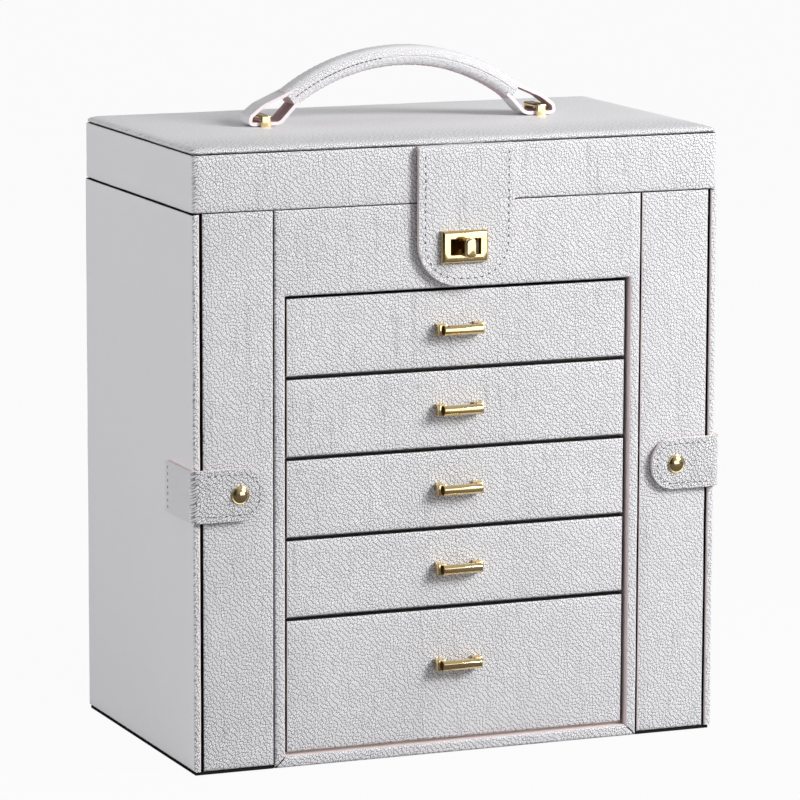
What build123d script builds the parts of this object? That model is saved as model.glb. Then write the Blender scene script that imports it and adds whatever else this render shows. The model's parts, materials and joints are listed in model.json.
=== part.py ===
from build123d import *

import os

# Leather-covered jewellery box with a hinged lid and carrying handle, a turn lock on a
# leather flap, five drawers, and a strapped door over a hanging space on each side.
# Sizes are millimetres. The origin is the middle of the underside, +Z is up and the
# front faces -Y.

# Case
width = 290.0
depth = 165.0
case_height = 287.0
board = 5.0
base_thickness = 1.4
base_inset = 1.2
strip_lift = 1.8
side_space = 38.7
frame_edge = 5.9
seam = 0.3
wrap_radius = 1.4
cap_thickness = 4.0

# Lid
lid_height = 29.0
lid_board = 4.0
lid_corner_radius = 3.2
lid_edge_radius = 1.0
cushion_height = 4.2
cushion_swell_height = 1.2
cushion_shoulder_height = 3.0
cushion_root_inset = 1.8
cushion_swell_inset = 0.5
cushion_shoulder_inset = 3.5
cushion_crown_inset = 14.0
cushion_swell_radius = 4.2
cushion_shoulder_radius = 6.4
cushion_crown_radius = 9.6
mirror_thickness = 2.5
surround_thickness = 3.5
surround_side = 22.0
surround_end = 19.5

# Drawers
small_drawers = 4
small_pitch = 41.4
drawer_gap = 1.4
drawer_recess = 2.5
drawer_front = 5.0
drawer_wall = 2.5
drawer_bottom = 2.5
drawer_back_gap = 4.5
run_gap = 0.3
head_room = 1.0
shelf = 3.0

# Drawer pulls
pull_length = 22.4
pull_height = 5.0
pull_depth = 3.8
pull_reach = 8.9
pull_bevel = 1.1
post_width = 3.2
post_height = 6.0
post_edge = 0.5
deep_pull_rise = 5.4

# Top tray
tray_height = 44.1
tray_floor = 3.0
divider = 4.0
divider_height = 34.0
ring_rolls = 7
ring_slot = 2.0
ring_roll_height = 22.0
ring_roll_radius = 7.0

# Side doors
door_thickness = 4.0
door_gap = 1.0
door_lift = 1.9
door_head_gap = 0.6
hook_rail_margin = 30.5
hook_rail_height = 12.0
hook_rail_thickness = 4.0
hook_rail_drop = 33.0
hooks = 6
hook_radius = 1.5
hook_length = 8.0
hook_tip_radius = 2.4
pocket_margin = 22.5
pocket_depth = 10.0
pocket_bottom = 14.0
pocket_height = 58.0
pocket_sheet = 1.6

# Door straps and their snaps
strap_level = 144.0
strap_height = 26.6
strap_thickness = 2.2
strap_stand_off = 1.4
strap_reach = 37.4
strap_side_length = 35.5
strap_end_flat = 1.3
snap_inset = 23.8
snap_radius = 4.8
snap_height = 2.3
snap_dome_radius = 1.7
socket_wall = 0.8
snap_clearance = 0.3
stud_radius = 2.0
stud_base_radius = 3.8
stud_base_height = 0.8
stud_grip = 1.5

# Lock flap, plate and turning knob
flap_width = 53.0
flap_below_lock = 21.8
flap_thickness = 2.6
flap_stand_off = 1.3
flap_end_flat = 4.5
flap_tongue = 12.5
lock_drop = 22.5
plate_width = 25.4
plate_height = 16.4
plate_thickness = 3.4
plate_bevel = 1.1
slot_bevel = 0.5
slot_width = 16.6
slot_height = 8.2
window_margin = 0.5
lock_base_margin = 2.4
knob_length = 10.0
knob_width = 6.0
knob_depth = 7.0
knob_edge = 0.7
knob_corner_radius = 2.7
knob_gap = 0.4
neck_radius = 2.2
neck_clearance = 0.06
neck_depth = 4.0

# Handle and its brackets
bracket_width = 5.4
bracket_leg_thickness = 1.7
bracket_edge_radius = 1.2
bar_height = 2.2
strap_slack = 1.5
handle_strap_width = 14.0
handle_strap_thickness = 1.8
grip_half_span = 63.0
grip_end_height = 13.0
grip_rise = 20.8
grip_width = 15.6
grip_height = 10.4
grip_side_flat = 0.6
loop_run = 14.5
loop_reach = 8.4
loop_lean = 1.0
loop_turn_height = 4.4
loop_foot = 8.4
loop_upper_offset = 6.2
loop_lower_offset = 1.0
loop_shoulder_radius = 8.0
loop_turn_radius = 3.0
loop_heel_radius = 2.0
loop_rise_radius = 5.0

# Hinges
knuckle_radius = 1.6
pin_radius = 0.8
pin_clearance = 0.06
pin_stand = 1.7
pin_inset = 0.4
pin_head_radius = 1.3
pin_head = 0.5
leaf_thickness = 0.8
leaf_gap = 0.15
knuckle_gap = 0.2
lid_hinge_length = 30.0
lid_hinge_offset = 90.0
lid_leaf_reach = 14.0
door_hinge_length = 24.0
door_hinge_low = 60.0
door_hinge_drop = 57.0
door_leaf_reach = 14.0
screw_radius = 0.8
screw_head_radius = 1.6
screw_head = 0.5
screw_length = 3.4

# Clearance of soft pieces
soft_gap = 0.3

# Places worked out from the sizes above
half_width = width / 2
front = -depth / 2
back = depth / 2
inner_front = front + board
inner_back = back - board
lid_top = case_height + lid_height
cushion_top = lid_top + cushion_height
door_inner = half_width - door_thickness
case_side = door_inner - door_gap
frame_half_width = case_side - side_space
opening_half_width = frame_half_width - frame_edge
opening_bottom = frame_edge
opening_top = case_height - tray_height
drawer_face = front + drawer_recess
drawer_half_width = opening_half_width - drawer_gap
floor_top = opening_bottom + drawer_gap - run_gap
tray_floor_top = opening_top + tray_floor
highest_seam = opening_top - drawer_gap / 2
small_seams = [highest_seam - count * small_pitch for count in range(small_drawers + 1)]
seams = [opening_bottom + drawer_gap / 2, *reversed(small_seams)]
drawer_back = inner_back - drawer_back_gap
mirror_width = width - 2 * board - 2 * surround_side
mirror_depth = depth - 2 * board - 2 * surround_end
hook_rail_level = case_height - hook_rail_drop
hook_rail_length = depth - 2 * hook_rail_margin
pocket_length = depth - 2 * pocket_margin
door_hinge_high = case_height - door_hinge_drop
socket_bore_radius = stud_radius + snap_clearance
socket_radius = socket_bore_radius + socket_wall
lock_level = case_height - lock_drop
flap_length = lid_top - lock_level + flap_below_lock
bracket_offset = grip_half_span + loop_run
pin_y = back + pin_stand
pin_x = door_inner - pin_inset
flap_back = front - flap_stand_off
flap_front = flap_back - flap_thickness
plate_front = flap_front - plate_thickness
strap_back = front - strap_stand_off
strap_front = strap_back - strap_thickness
bar_bottom = cushion_top + soft_gap + handle_strap_thickness + strap_slack
bar_top = bar_bottom + bar_height


def around(middle, length):
    """Span of a length about its middle."""
    return (middle - length / 2, middle + length / 2)


def block(x_span, y_span, z_span):
    """Box between the low and high ends of three spans."""
    spans = (x_span, y_span, z_span)
    middle = [(low + high) / 2 for low, high in spans]
    length = [high - low for low, high in spans]
    return Pos(*middle) * Box(*length)


def other_side(shape):
    """The same shape on the other side of the box."""
    return mirror(shape, about=Plane.YZ)


def run_along_y(points, y_span):
    """Solid with an outline of X and Z points, from one Y to another."""
    low, high = y_span
    outline = Face(Wire.make_polygon([(x, low, z) for x, z in points]))
    return extrude(outline, amount=high - low, dir=(0, 1, 0))


def run_along_x(points, x_span):
    """Solid with an outline of Y and Z points, from one X to another."""
    low, high = x_span
    outline = Face(Wire.make_polygon([(low, y, z) for y, z in points]))
    return extrude(outline, amount=high - low, dir=(1, 0, 0))


def run_along_z(points, z_span):
    """Solid with an outline of X and Y points, from one Z to another."""
    low, high = z_span
    outline = Face(Wire.make_polygon([(x, y, low) for x, y in points]))
    return extrude(outline, amount=high - low, dir=(0, 0, 1))


def rod_along_y(x, z, radius, y_span):
    """Round rod or hole that runs from one Y to another."""
    low, high = y_span
    return Pos(x, (low + high) / 2, z) * Rot(90, 0, 0) * Cylinder(radius, high - low)


def rod_along_x(y, z, radius, x_span):
    """Round rod or hole that runs from one X to another."""
    low, high = x_span
    return Pos((low + high) / 2, y, z) * Rot(0, 90, 0) * Cylinder(radius, high - low)


def round_front(solid, radius):
    """Round the edges of the face that looks to the front."""
    return fillet(solid.faces().sort_by(Axis.Y)[0].edges(), radius)


def save(name, *shapes):
    """Write all the solids of one node to its file."""
    solids = [solid for shape in shapes for solid in shape.solids()]
    export_step(Compound(children=solids), f"parts/{name}.step")


def pins_at_back():
    """Places of the screws and pins of the two lid hinges and the four door hinges."""
    lid_places = [-lid_hinge_offset, lid_hinge_offset]
    door_places = [(side, level) for side in (-1, 1) for level in (door_hinge_low, door_hinge_high)]
    return lid_places, door_places


# Hinges: in the local frame of a leaf the pin is on Z and the plate runs along X
def knuckle_spans(length):
    """Spans of the low, middle and high knuckle of a hinge."""
    step = (length - 2 * knuckle_gap) / 3
    starts = [-length / 2 + count * (step + knuckle_gap) for count in range(3)]
    return [(start, start + step) for start in starts]


def screw_places(length):
    """Heights of the two screws in a leaf."""
    return (-length / 4, length / 4)


def leaf(length, reach, inner_face, spans, bore_radius):
    """Hinge leaf with its knuckles, whose face on the wood is at a local Y."""
    thickness_span = (inner_face, inner_face + leaf_thickness)
    start = knuckle_radius + leaf_gap
    solid = block((start, reach), thickness_span, around(0, length))
    for low, high in spans:
        solid += block((0, start), thickness_span, (low, high))
        solid += Pos(0, 0, (low + high) / 2) * Cylinder(knuckle_radius, high - low)
    solid -= Cylinder(bore_radius, length)
    for height in screw_places(length):
        solid -= rod_along_y(reach / 2 + start / 2, height, screw_radius, thickness_span)
    return solid


def leaf_screws(length, reach, inner_face):
    """The two screws of a leaf, with heads on its open face."""
    start = knuckle_radius + leaf_gap
    open_face = inner_face + leaf_thickness
    screws = []
    for height in screw_places(length):
        x = reach / 2 + start / 2
        head = rod_along_y(x, height, screw_head_radius, (open_face, open_face + screw_head))
        shank = rod_along_y(x, height, screw_radius, (open_face - screw_length, open_face))
        screws.append(head + shank)
    return screws


def screw_holes(length, reach, inner_face):
    """The holes that the screws of a leaf need in the board under it."""
    start = knuckle_radius + leaf_gap
    open_face = inner_face + leaf_thickness
    x = reach / 2 + start / 2
    span = (open_face - screw_length, open_face)
    return [rod_along_y(x, height, screw_radius, span) for height in screw_places(length)]


def hinge_pin(length):
    """Hinge pin with a low head at each end."""
    pin = Cylinder(pin_radius, length)
    for end in (-1, 1):
        pin += Pos(0, 0, end * (length + pin_head) / 2) * Cylinder(pin_head_radius, pin_head)
    return pin


def outer_knuckles(length):
    """The two end knuckles, which belong to the case."""
    spans = knuckle_spans(length)
    return [spans[0], spans[2]]


def middle_knuckle(length):
    """The middle knuckle, which belongs to the lid or the door."""
    return [knuckle_spans(length)[1]]


def lid_place(x):
    """Local frame of a lid hinge, on the seam behind the lid."""
    return Pos(x, pin_y, case_height)


def door_place(level):
    """Local frame of a hinge of the left door, behind its rear edge."""
    return Pos(-pin_x, pin_y, level)


downwards = Rot(0, 90, 0)
upwards = Rot(0, -90, 0)
forwards = Rot(0, 0, -90)
door_leaf_face = pin_x - door_inner - leaf_thickness


def case_hinge_cuts():
    """Screw holes of the case leaves in the back panel."""
    cuts = []
    lid_places, door_places = pins_at_back()
    for x in lid_places:
        for hole in screw_holes(lid_hinge_length, lid_leaf_reach, -pin_stand):
            cuts.append(lid_place(x) * downwards * hole)
    for side, level in door_places:
        for hole in screw_holes(door_hinge_length, door_leaf_reach, -pin_stand):
            hole = door_place(level) * hole
            cuts.append(hole if side < 0 else other_side(hole))
    return cuts


def make_lid_hinges():
    """The two hinges behind the lid: case leaves, lid leaves and pins."""
    case_leaves, lid_leaves, pins = [], [], []
    length, reach = lid_hinge_length, lid_leaf_reach
    for x in pins_at_back()[0]:
        down, up = lid_place(x) * downwards, lid_place(x) * upwards
        fixed = leaf(length, reach, -pin_stand, outer_knuckles(length), pin_radius)
        loose = leaf(length, reach, -pin_stand, middle_knuckle(length), pin_radius + pin_clearance)
        screws = leaf_screws(length, reach, -pin_stand)
        case_leaves += [down * piece for piece in [fixed, *screws]]
        lid_leaves += [up * piece for piece in [loose, *screws]]
        pins.append(down * hinge_pin(length))
    return case_leaves, lid_leaves, pins


def make_left_door_hinges():
    """The two hinges behind the left door: case leaves, door leaves and pins."""
    case_leaves, door_leaves, pins = [], [], []
    length, reach = door_hinge_length, door_leaf_reach
    for level in (door_hinge_low, door_hinge_high):
        place = door_place(level)
        fixed = leaf(length, reach, -pin_stand, outer_knuckles(length), pin_radius)
        loose = leaf(length, reach, door_leaf_face, middle_knuckle(length), pin_radius + pin_clearance)
        case_leaves += [place * piece for piece in [fixed, *leaf_screws(length, reach, -pin_stand)]]
        moving = [loose, *leaf_screws(length, reach, door_leaf_face)]
        door_leaves += [place * forwards * piece for piece in moving]
        pins.append(place * hinge_pin(length))
    return case_leaves, door_leaves, pins


# Case boards
def make_base():
    """Thin black board underneath, let in behind the centre frame."""
    edge = half_width - base_inset
    notch = frame_half_width + seam
    face = front + base_inset
    points = [
        (-edge, face),
        (-notch, face),
        (-notch, inner_front),
        (notch, inner_front),
        (notch, face),
        (edge, face),
        (edge, back),
        (-edge, back),
    ]
    return run_along_z(points, (0, base_thickness))


def make_floor():
    """Floor board that the bottom drawer runs on."""
    return block((-case_side, case_side), (inner_front, inner_back), (base_thickness, floor_top))


def make_back():
    """Back panel with the screw holes of the hinges."""
    panel = block((-case_side, case_side), (inner_back, back), (base_thickness, case_height))
    panel = fillet(panel.edges().filter_by(Axis.X).sort_by(Axis.Z)[-1], lid_edge_radius)
    for cut in case_hinge_cuts():
        panel -= cut
    return panel


def make_left_partition():
    """Wall between the drawers and the left hanging space."""
    wall = (-frame_half_width, -opening_half_width)
    return block(wall, (inner_front, inner_back), (floor_top, case_height))


def make_frame_panel():
    """Deep panel at the top of the centre frame, with the blind hole of the knob's neck."""
    outer, inner = frame_half_width, opening_half_width
    panel_z = (opening_top, case_height)
    panel = round_front(block((-outer, outer), (front, inner_front), panel_z), wrap_radius)
    mitres = [
        (-inner, opening_top),
        (inner, opening_top),
        (outer, opening_top + frame_edge),
        (outer, case_height),
        (-outer, case_height),
        (-outer, opening_top + frame_edge),
    ]
    panel &= run_along_y(mitres, (front, inner_front))
    neck_hole = neck_radius + neck_clearance
    return panel - rod_along_y(0, lock_level, neck_hole, (front, front + neck_depth))


def make_frame_rail():
    """Rail at the foot of the centre frame, with mitred ends."""
    outer, inner = frame_half_width, opening_half_width
    rail = block((-outer, outer), (front, inner_front), (0, opening_bottom))
    rail = fillet(rail.edges().filter_by(Axis.X).group_by(Axis.Y)[0], wrap_radius)
    mitres = [(-outer, 0), (outer, 0), (inner, opening_bottom), (-inner, opening_bottom)]
    return rail & run_along_y(mitres, (front, inner_front))


def make_frame_stile():
    """Left stile of the centre frame, with mitred ends."""
    outer, inner = frame_half_width, opening_half_width
    top = opening_top + frame_edge
    stile = block((-outer, -inner), (front, inner_front), (0, top))
    stile = fillet(stile.edges().filter_by(Axis.Z).group_by(Axis.Y)[0], wrap_radius)
    mitres = [(-outer, 0), (-inner, opening_bottom), (-inner, opening_top), (-outer, top)]
    return stile & run_along_y(mitres, (front, inner_front))


def make_front_frame():
    """Centre frame round the drawers."""
    return [make_frame_panel(), make_frame_rail(), make_frame_stile(), other_side(make_frame_stile())]


def make_left_strip():
    """Front strip between the centre frame and the left door."""
    strip_x = (-case_side, -frame_half_width - seam)
    strip = block(strip_x, (front, inner_front), (strip_lift, case_height))
    return round_front(strip, wrap_radius)


def make_shelves():
    """Shelves between the drawers, housed against the partitions."""
    shelves = []
    shelf_front = drawer_face + drawer_front + run_gap
    for level in seams[1:-1]:
        top = level + drawer_gap / 2 - run_gap
        shelf_x = (-opening_half_width, opening_half_width)
        shelves.append(block(shelf_x, (shelf_front, inner_back), (top - shelf, top)))
    return shelves


def make_tray_floor():
    """Board under the top tray, over the highest drawer."""
    floor_x = (-opening_half_width, opening_half_width)
    return block(floor_x, (inner_front, inner_back), (opening_top, tray_floor_top))


def make_left_cap():
    """Cap board over the left hanging space, under the lid."""
    cap_x = (-case_side, -frame_half_width)
    return block(cap_x, (inner_front, inner_back), (case_height - cap_thickness, case_height))


def make_tray_dividers():
    """Dividers of the top tray: one across its depth and two on the right."""
    level = (tray_floor_top, tray_floor_top + divider_height)
    right = (divider / 2, opening_half_width)
    middle = (divider / 2 + opening_half_width) / 2
    return [
        block(around(0, divider), (inner_front, inner_back), level),
        block(right, around(0, divider), level),
        block(around(middle, divider), (divider / 2, inner_back), level),
    ]


def make_ring_cushions():
    """Row of soft rolls on the left of the tray, which hold rings in their slots."""
    roll_x = (-opening_half_width + soft_gap, -divider / 2 - soft_gap)
    pitch = (inner_back - inner_front) / ring_rolls
    rolls = []
    for count in range(ring_rolls):
        middle = inner_front + pitch * (count + 0.5)
        roll_z = (tray_floor_top, tray_floor_top + ring_roll_height)
        roll = block(roll_x, around(middle, pitch - ring_slot), roll_z)
        rolls.append(fillet(roll.faces().sort_by(Axis.Z)[-1].edges(), ring_roll_radius))
    return rolls


def make_lock_base():
    """Metal plate on the case that the knob turns in."""
    base_y = (flap_back + soft_gap, front)
    base_x = around(0, slot_width + 2 * lock_base_margin)
    plate = block(base_x, base_y, around(lock_level, slot_height + 2 * lock_base_margin))
    return plate - rod_along_y(0, lock_level, neck_radius + neck_clearance, base_y)


def make_left_stud():
    """Snap stud on the left front strip."""
    x = -half_width + snap_inset
    base = rod_along_y(x, strap_level, stud_base_radius, (front - stud_base_height, front))
    tip = strap_back - stud_grip
    post = rod_along_y(x, strap_level, stud_radius, (tip, front))
    return base + post


# Lid
def flap_rebate():
    """Space in the lid's top that the sewn end of the flap lies in."""
    tongue_y = (front, front + flap_tongue)
    return block(around(0, flap_width), tongue_y, (lid_top - flap_thickness, lid_top))


def make_lid_frame():
    """Four boards round the lid with rounded corners and edges."""
    lid_z = (case_height, lid_top)
    outside = block((-half_width, half_width), (front, back), lid_z)
    outside = fillet(outside.edges().filter_by(Axis.Z), lid_corner_radius)
    outside = fillet(outside.faces().sort_by(Axis.Z)[0].edges(), lid_edge_radius)
    outside = fillet(outside.faces().sort_by(Axis.Z)[-1].edges(), lid_edge_radius)
    inner_x = half_width - board
    ring = outside - block((-inner_x, inner_x), (inner_front, inner_back), lid_z)
    ring -= flap_rebate()
    for x in pins_at_back()[0]:
        for hole in screw_holes(lid_hinge_length, lid_leaf_reach, -pin_stand):
            ring -= lid_place(x) * upwards * hole
    full_x = (-half_width, half_width)
    left = ring & block((-half_width, -inner_x), (inner_front, inner_back), lid_z)
    return [
        ring & block(full_x, (front, inner_front), lid_z),
        ring & block(full_x, (inner_back, back), lid_z),
        left,
        other_side(left),
    ]


def make_lid_top_board():
    """Board across the top of the lid, inside its frame."""
    inner_x = half_width - board
    top = block((-inner_x, inner_x), (inner_front, inner_back), (lid_top - lid_board, lid_top))
    return top - flap_rebate()


def cushion_outline(inset, height, radius):
    """Rounded outline of the cushion at a height above the lid boards."""
    size_x, size_y = width - 2 * inset, depth - 2 * inset
    return Pos(0, 0, lid_top + height) * RectangleRounded(size_x, size_y, radius)


def make_cushion():
    """Padded top cover: drawn in at its seam, swollen above it and crowned."""
    sections = [
        cushion_outline(cushion_root_inset, 0, lid_corner_radius),
        cushion_outline(cushion_swell_inset, cushion_swell_height, cushion_swell_radius),
        cushion_outline(cushion_shoulder_inset, cushion_shoulder_height, cushion_shoulder_radius),
        cushion_outline(cushion_crown_inset, cushion_height, cushion_crown_radius),
    ]
    cushion = loft(sections, ruled=True)
    for side in (-1, 1):
        for leg_y in bracket_leg_spans():
            slot_x = around(side * bracket_offset, bracket_width + 2 * soft_gap)
            slot_y = (leg_y[0] - soft_gap, leg_y[1] + soft_gap)
            cushion -= block(slot_x, slot_y, (lid_top, cushion_top))
    return cushion


def make_mirror():
    """Mirror glass under the lid's top board."""
    glass_z = (lid_top - lid_board - mirror_thickness, lid_top - lid_board)
    return block(around(0, mirror_width), around(0, mirror_depth), glass_z)


def make_mirror_surround():
    """Padded boards round the mirror."""
    level = lid_top - lid_board
    outer_x, outer_y = half_width - board, inner_back
    inner_x, inner_y = mirror_width / 2, mirror_depth / 2
    surround_z = (level - surround_thickness, level)
    rear = block((-outer_x, outer_x), (inner_y, outer_y), surround_z)
    left = block((-outer_x, -inner_x), (-inner_y, inner_y), surround_z)
    return [rear, mirror(rear, about=Plane.XZ), left, other_side(left)]


def make_flap_anchor():
    """Sewn end of the lock flap, let into the lid and mitred at the bend."""
    low = lid_top - flap_thickness
    points = [
        (flap_front, lid_top),
        (front + flap_tongue, lid_top),
        (front + flap_tongue, low),
        (flap_back, low),
    ]
    return run_along_x(points, around(0, flap_width))


# Handle
def bracket_leg_spans():
    """Y spans of the two legs of a bracket, outside the strap."""
    inner = handle_strap_width / 2 + soft_gap
    outer = inner + bracket_leg_thickness
    return [(-outer, -inner), (inner, outer)]


def make_left_bracket():
    """Metal staple over the left strap loop, standing on the lid board."""
    bracket_x = around(-bracket_offset, bracket_width)
    front_leg, rear_leg = bracket_leg_spans()
    staple = block(bracket_x, (front_leg[0], rear_leg[1]), (lid_top, bar_top))
    staple -= block(bracket_x, (front_leg[1], rear_leg[0]), (lid_top, bar_bottom))
    top_edges = staple.faces().sort_by(Axis.Z)[-1].edges().filter_by(Axis.X)
    return fillet(top_edges, bracket_edge_radius)


def grip_curve():
    """Middle line of the padded grip, as an arc over the lid."""
    end_z = cushion_top + grip_end_height
    ends = [(-grip_half_span, 0, end_z), (grip_half_span, 0, end_z)]
    return ThreePointArc(ends[0], (0, 0, end_z + grip_rise), ends[1])


def grip_end_plane():
    """Plane of the left end of the grip, facing out of it."""
    curve = grip_curve()
    return Plane(origin=curve @ 0, x_dir=(0, 1, 0), z_dir=-(curve % 0))


def make_grip():
    """Padded grip swept along its arc."""
    corner = grip_height / 2 - grip_side_flat
    section = grip_end_plane() * RectangleRounded(grip_width, grip_height, corner)
    return sweep(section, path=grip_curve())


def make_left_loop():
    """Left strap loop: out of the top of the grip, under the bracket and back."""
    foot_z = cushion_top + soft_gap + handle_strap_thickness / 2
    bracket_x = -bracket_offset
    toe_x = bracket_x - loop_reach
    end_z = cushion_top + grip_end_height
    inside_x = -grip_half_span + grip_height / 2
    points = [
        (inside_x, 0, end_z + loop_upper_offset),
        (bracket_x - loop_lean, 0, bar_top + loop_turn_height),
        (toe_x, 0, bar_bottom + loop_lean),
        (toe_x + loop_lean, 0, foot_z),
        (bracket_x + loop_foot, 0, foot_z),
        (inside_x - loop_lean, 0, end_z - loop_lower_offset),
    ]
    bends = [loop_shoulder_radius, loop_turn_radius, loop_heel_radius, loop_rise_radius]
    path = FilletPolyline(*points, radius=bends)
    profile = Plane(origin=path @ 0, x_dir=(0, 1, 0), z_dir=path % 0)
    strap = sweep(profile * Rectangle(handle_strap_width, handle_strap_thickness), path=path)
    return split(strap, bisect_by=grip_end_plane(), keep=Keep.TOP)


# Flap and lock
def plate_window(margin, y_span):
    """Slot of the lock plate, widened by a margin."""
    slot_x = around(0, slot_width + 2 * margin)
    return block(slot_x, y_span, around(lock_level, slot_height + 2 * margin))


def make_flap():
    """Leather flap that hangs from the lid's top edge over the lock."""
    bottom = lid_top - flap_length
    points = [
        (flap_front, lid_top),
        (flap_back, lid_top - flap_thickness),
        (flap_back, bottom),
        (flap_front, bottom),
    ]
    flap = run_along_x(points, around(0, flap_width))
    corners = flap.edges().filter_by(Axis.Y).sort_by(Axis.Z)[:2]
    flap = fillet(corners, flap_width / 2 - flap_end_flat)
    return flap - plate_window(window_margin, (flap_front, flap_back))


def make_lock_plate():
    """Bevelled metal plate with the slot that the knob passes."""
    plate_y = (plate_front, flap_front)
    plate = block(around(0, plate_width), plate_y, around(lock_level, plate_height))
    plate = chamfer(plate.faces().sort_by(Axis.Y)[0].edges(), plate_bevel)
    plate -= plate_window(0, plate_y)
    rim = plate.faces().sort_by(Axis.Y)[0].inner_wires()[0]
    return chamfer(rim.edges(), slot_bevel)


def make_knob():
    """Oblong knob on a round neck, upright when locked."""
    knob_back = plate_front - knob_gap
    knob_y = (knob_back - knob_depth, knob_back)
    head = block(around(0, knob_width), knob_y, around(lock_level, knob_length))
    head = fillet(head.edges().filter_by(Axis.Y), knob_corner_radius)
    head = fillet(head.faces().sort_by(Axis.Y)[0].edges(), knob_edge)
    return head + rod_along_y(0, lock_level, neck_radius, (knob_back, front + neck_depth))


# Doors and straps
def make_left_door():
    """Left door panel, with the mortises and screw holes of its hinges."""
    door_z = (door_lift, case_height - door_head_gap)
    door = block((-half_width, -door_inner), (front, back), door_z)
    door = fillet(door.faces().sort_by(Axis.X)[0].edges(), wrap_radius)
    inner_front_edge = door.edges().filter_by(Axis.Z).group_by(Axis.Y)[0].sort_by(Axis.X)[-1]
    door = fillet(inner_front_edge, wrap_radius)
    for level in (door_hinge_low, door_hinge_high):
        mortise_x = (-door_inner - leaf_thickness, -door_inner)
        mortise_y = (pin_y - door_leaf_reach, back)
        door -= block(mortise_x, mortise_y, around(level, door_hinge_length))
        for hole in screw_holes(door_hinge_length, door_leaf_reach, door_leaf_face):
            door -= door_place(level) * forwards * hole
    return door


def make_left_hook_rail():
    """Rail of hooks for necklaces, on the inside of the left door."""
    inside = -door_inner + hook_rail_thickness
    rail_y = around(0, hook_rail_length)
    rail = block((-door_inner, inside), rail_y, around(hook_rail_level, hook_rail_height))
    pieces = [rail]
    pitch = hook_rail_length / hooks
    for count in range(hooks):
        y = rail_y[0] + pitch * (count + 0.5)
        peg = rod_along_x(y, hook_rail_level, hook_radius, (inside, inside + hook_length))
        pieces.append(peg + Pos(inside + hook_length, y, hook_rail_level) * Sphere(hook_tip_radius))
    return pieces


def make_left_pocket():
    """Gathered pocket on the inside of the left door, open at its top."""
    deep = (-door_inner, -door_inner + pocket_depth)
    sheet_x = (deep[1] - pocket_sheet, deep[1])
    behind_x = (deep[0], sheet_x[0])
    pocket_y = around(0, pocket_length)
    pocket_z = (pocket_bottom, pocket_bottom + pocket_height)
    over_bottom = (pocket_bottom + pocket_sheet, pocket_z[1])
    end = block(behind_x, (pocket_y[0], pocket_y[0] + pocket_sheet), over_bottom)
    return [
        block(sheet_x, pocket_y, pocket_z),
        block(behind_x, pocket_y, (pocket_bottom, pocket_bottom + pocket_sheet)),
        end,
        mirror(end, about=Plane.XZ),
    ]


def make_left_strap_anchor():
    """End of the left strap that is sewn to the door, mitred at the corner."""
    outside = -half_width - strap_thickness
    end = strap_front + strap_side_length + strap_stand_off + strap_thickness
    points = [(outside, strap_front), (-half_width, strap_back), (-half_width, end), (outside, end)]
    return run_along_z(points, around(strap_level, strap_height))


def make_left_strap():
    """Tab of the left strap, over the front strip, with the hole of its snap."""
    outside = -half_width - strap_thickness
    tip = -half_width + strap_reach
    points = [(outside, strap_front), (tip, strap_front), (tip, strap_back), (-half_width, strap_back)]
    strap = run_along_z(points, around(strap_level, strap_height))
    corners = strap.edges().filter_by(Axis.Y).group_by(Axis.X)[-1]
    strap = fillet(corners, strap_height / 2 - strap_end_flat)
    x = -half_width + snap_inset
    return strap - rod_along_y(x, strap_level, socket_radius, (strap_front, strap_back))


def make_left_snap():
    """Domed snap cap with the socket that grips the stud."""
    x = -half_width + snap_inset
    cap_y = (strap_front - snap_height, strap_front)
    cap = rod_along_y(x, strap_level, snap_radius, cap_y)
    cap = fillet(cap.faces().sort_by(Axis.Y)[0].edges(), snap_dome_radius)
    socket = rod_along_y(x, strap_level, socket_radius, (strap_front, strap_back))
    socket -= rod_along_y(x, strap_level, socket_bore_radius, (strap_front, strap_back))
    return cap + socket


# Drawers
def make_drawer_front(low, high):
    """Leather-covered front of a drawer between two seams."""
    front_x = (-drawer_half_width, drawer_half_width)
    front_z = (low + drawer_gap / 2, high - drawer_gap / 2)
    return round_front(block(front_x, (drawer_face, drawer_face + drawer_front), front_z), wrap_radius)


def make_drawer_tray(low, high):
    """Bottom, sides and back of a drawer."""
    start = drawer_face + drawer_front
    end = drawer_back
    bottom_z = (low + drawer_gap / 2, low + drawer_gap / 2 + drawer_bottom)
    wall_z = (bottom_z[1], high + drawer_gap / 2 - run_gap - shelf - head_room)
    side_x = (-drawer_half_width, -drawer_half_width + drawer_wall)
    side = block(side_x, (start, end), wall_z)
    inner_x = (side_x[1], -side_x[1])
    return [
        block((-drawer_half_width, drawer_half_width), (start, end), bottom_z),
        side,
        other_side(side),
        block(inner_x, (end - drawer_wall, end), wall_z),
    ]


def pull_level(low, high):
    """Height of a pull: the middle of its drawer, and higher on the deep bottom one."""
    middle = (low + high) / 2
    return middle + deep_pull_rise if low == seams[0] else middle


def make_pull(low, high):
    """Metal pull: a bevelled bar between two posts."""
    level = pull_level(low, high)
    bar_front = drawer_face - pull_reach
    post_x = (pull_length / 2 - post_width, pull_length / 2)
    post = block(post_x, (bar_front, drawer_face), around(level, post_height))
    post = chamfer(post.faces().sort_by(Axis.Y)[0].edges(), post_edge)
    bar_x = (-post_x[0], post_x[0])
    bar = block(bar_x, (bar_front, bar_front + pull_depth), around(level, pull_height))
    bar = chamfer(bar.faces().sort_by(Axis.Y)[0].edges().filter_by(Axis.X), pull_bevel)
    return [bar, post, other_side(post)]


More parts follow.
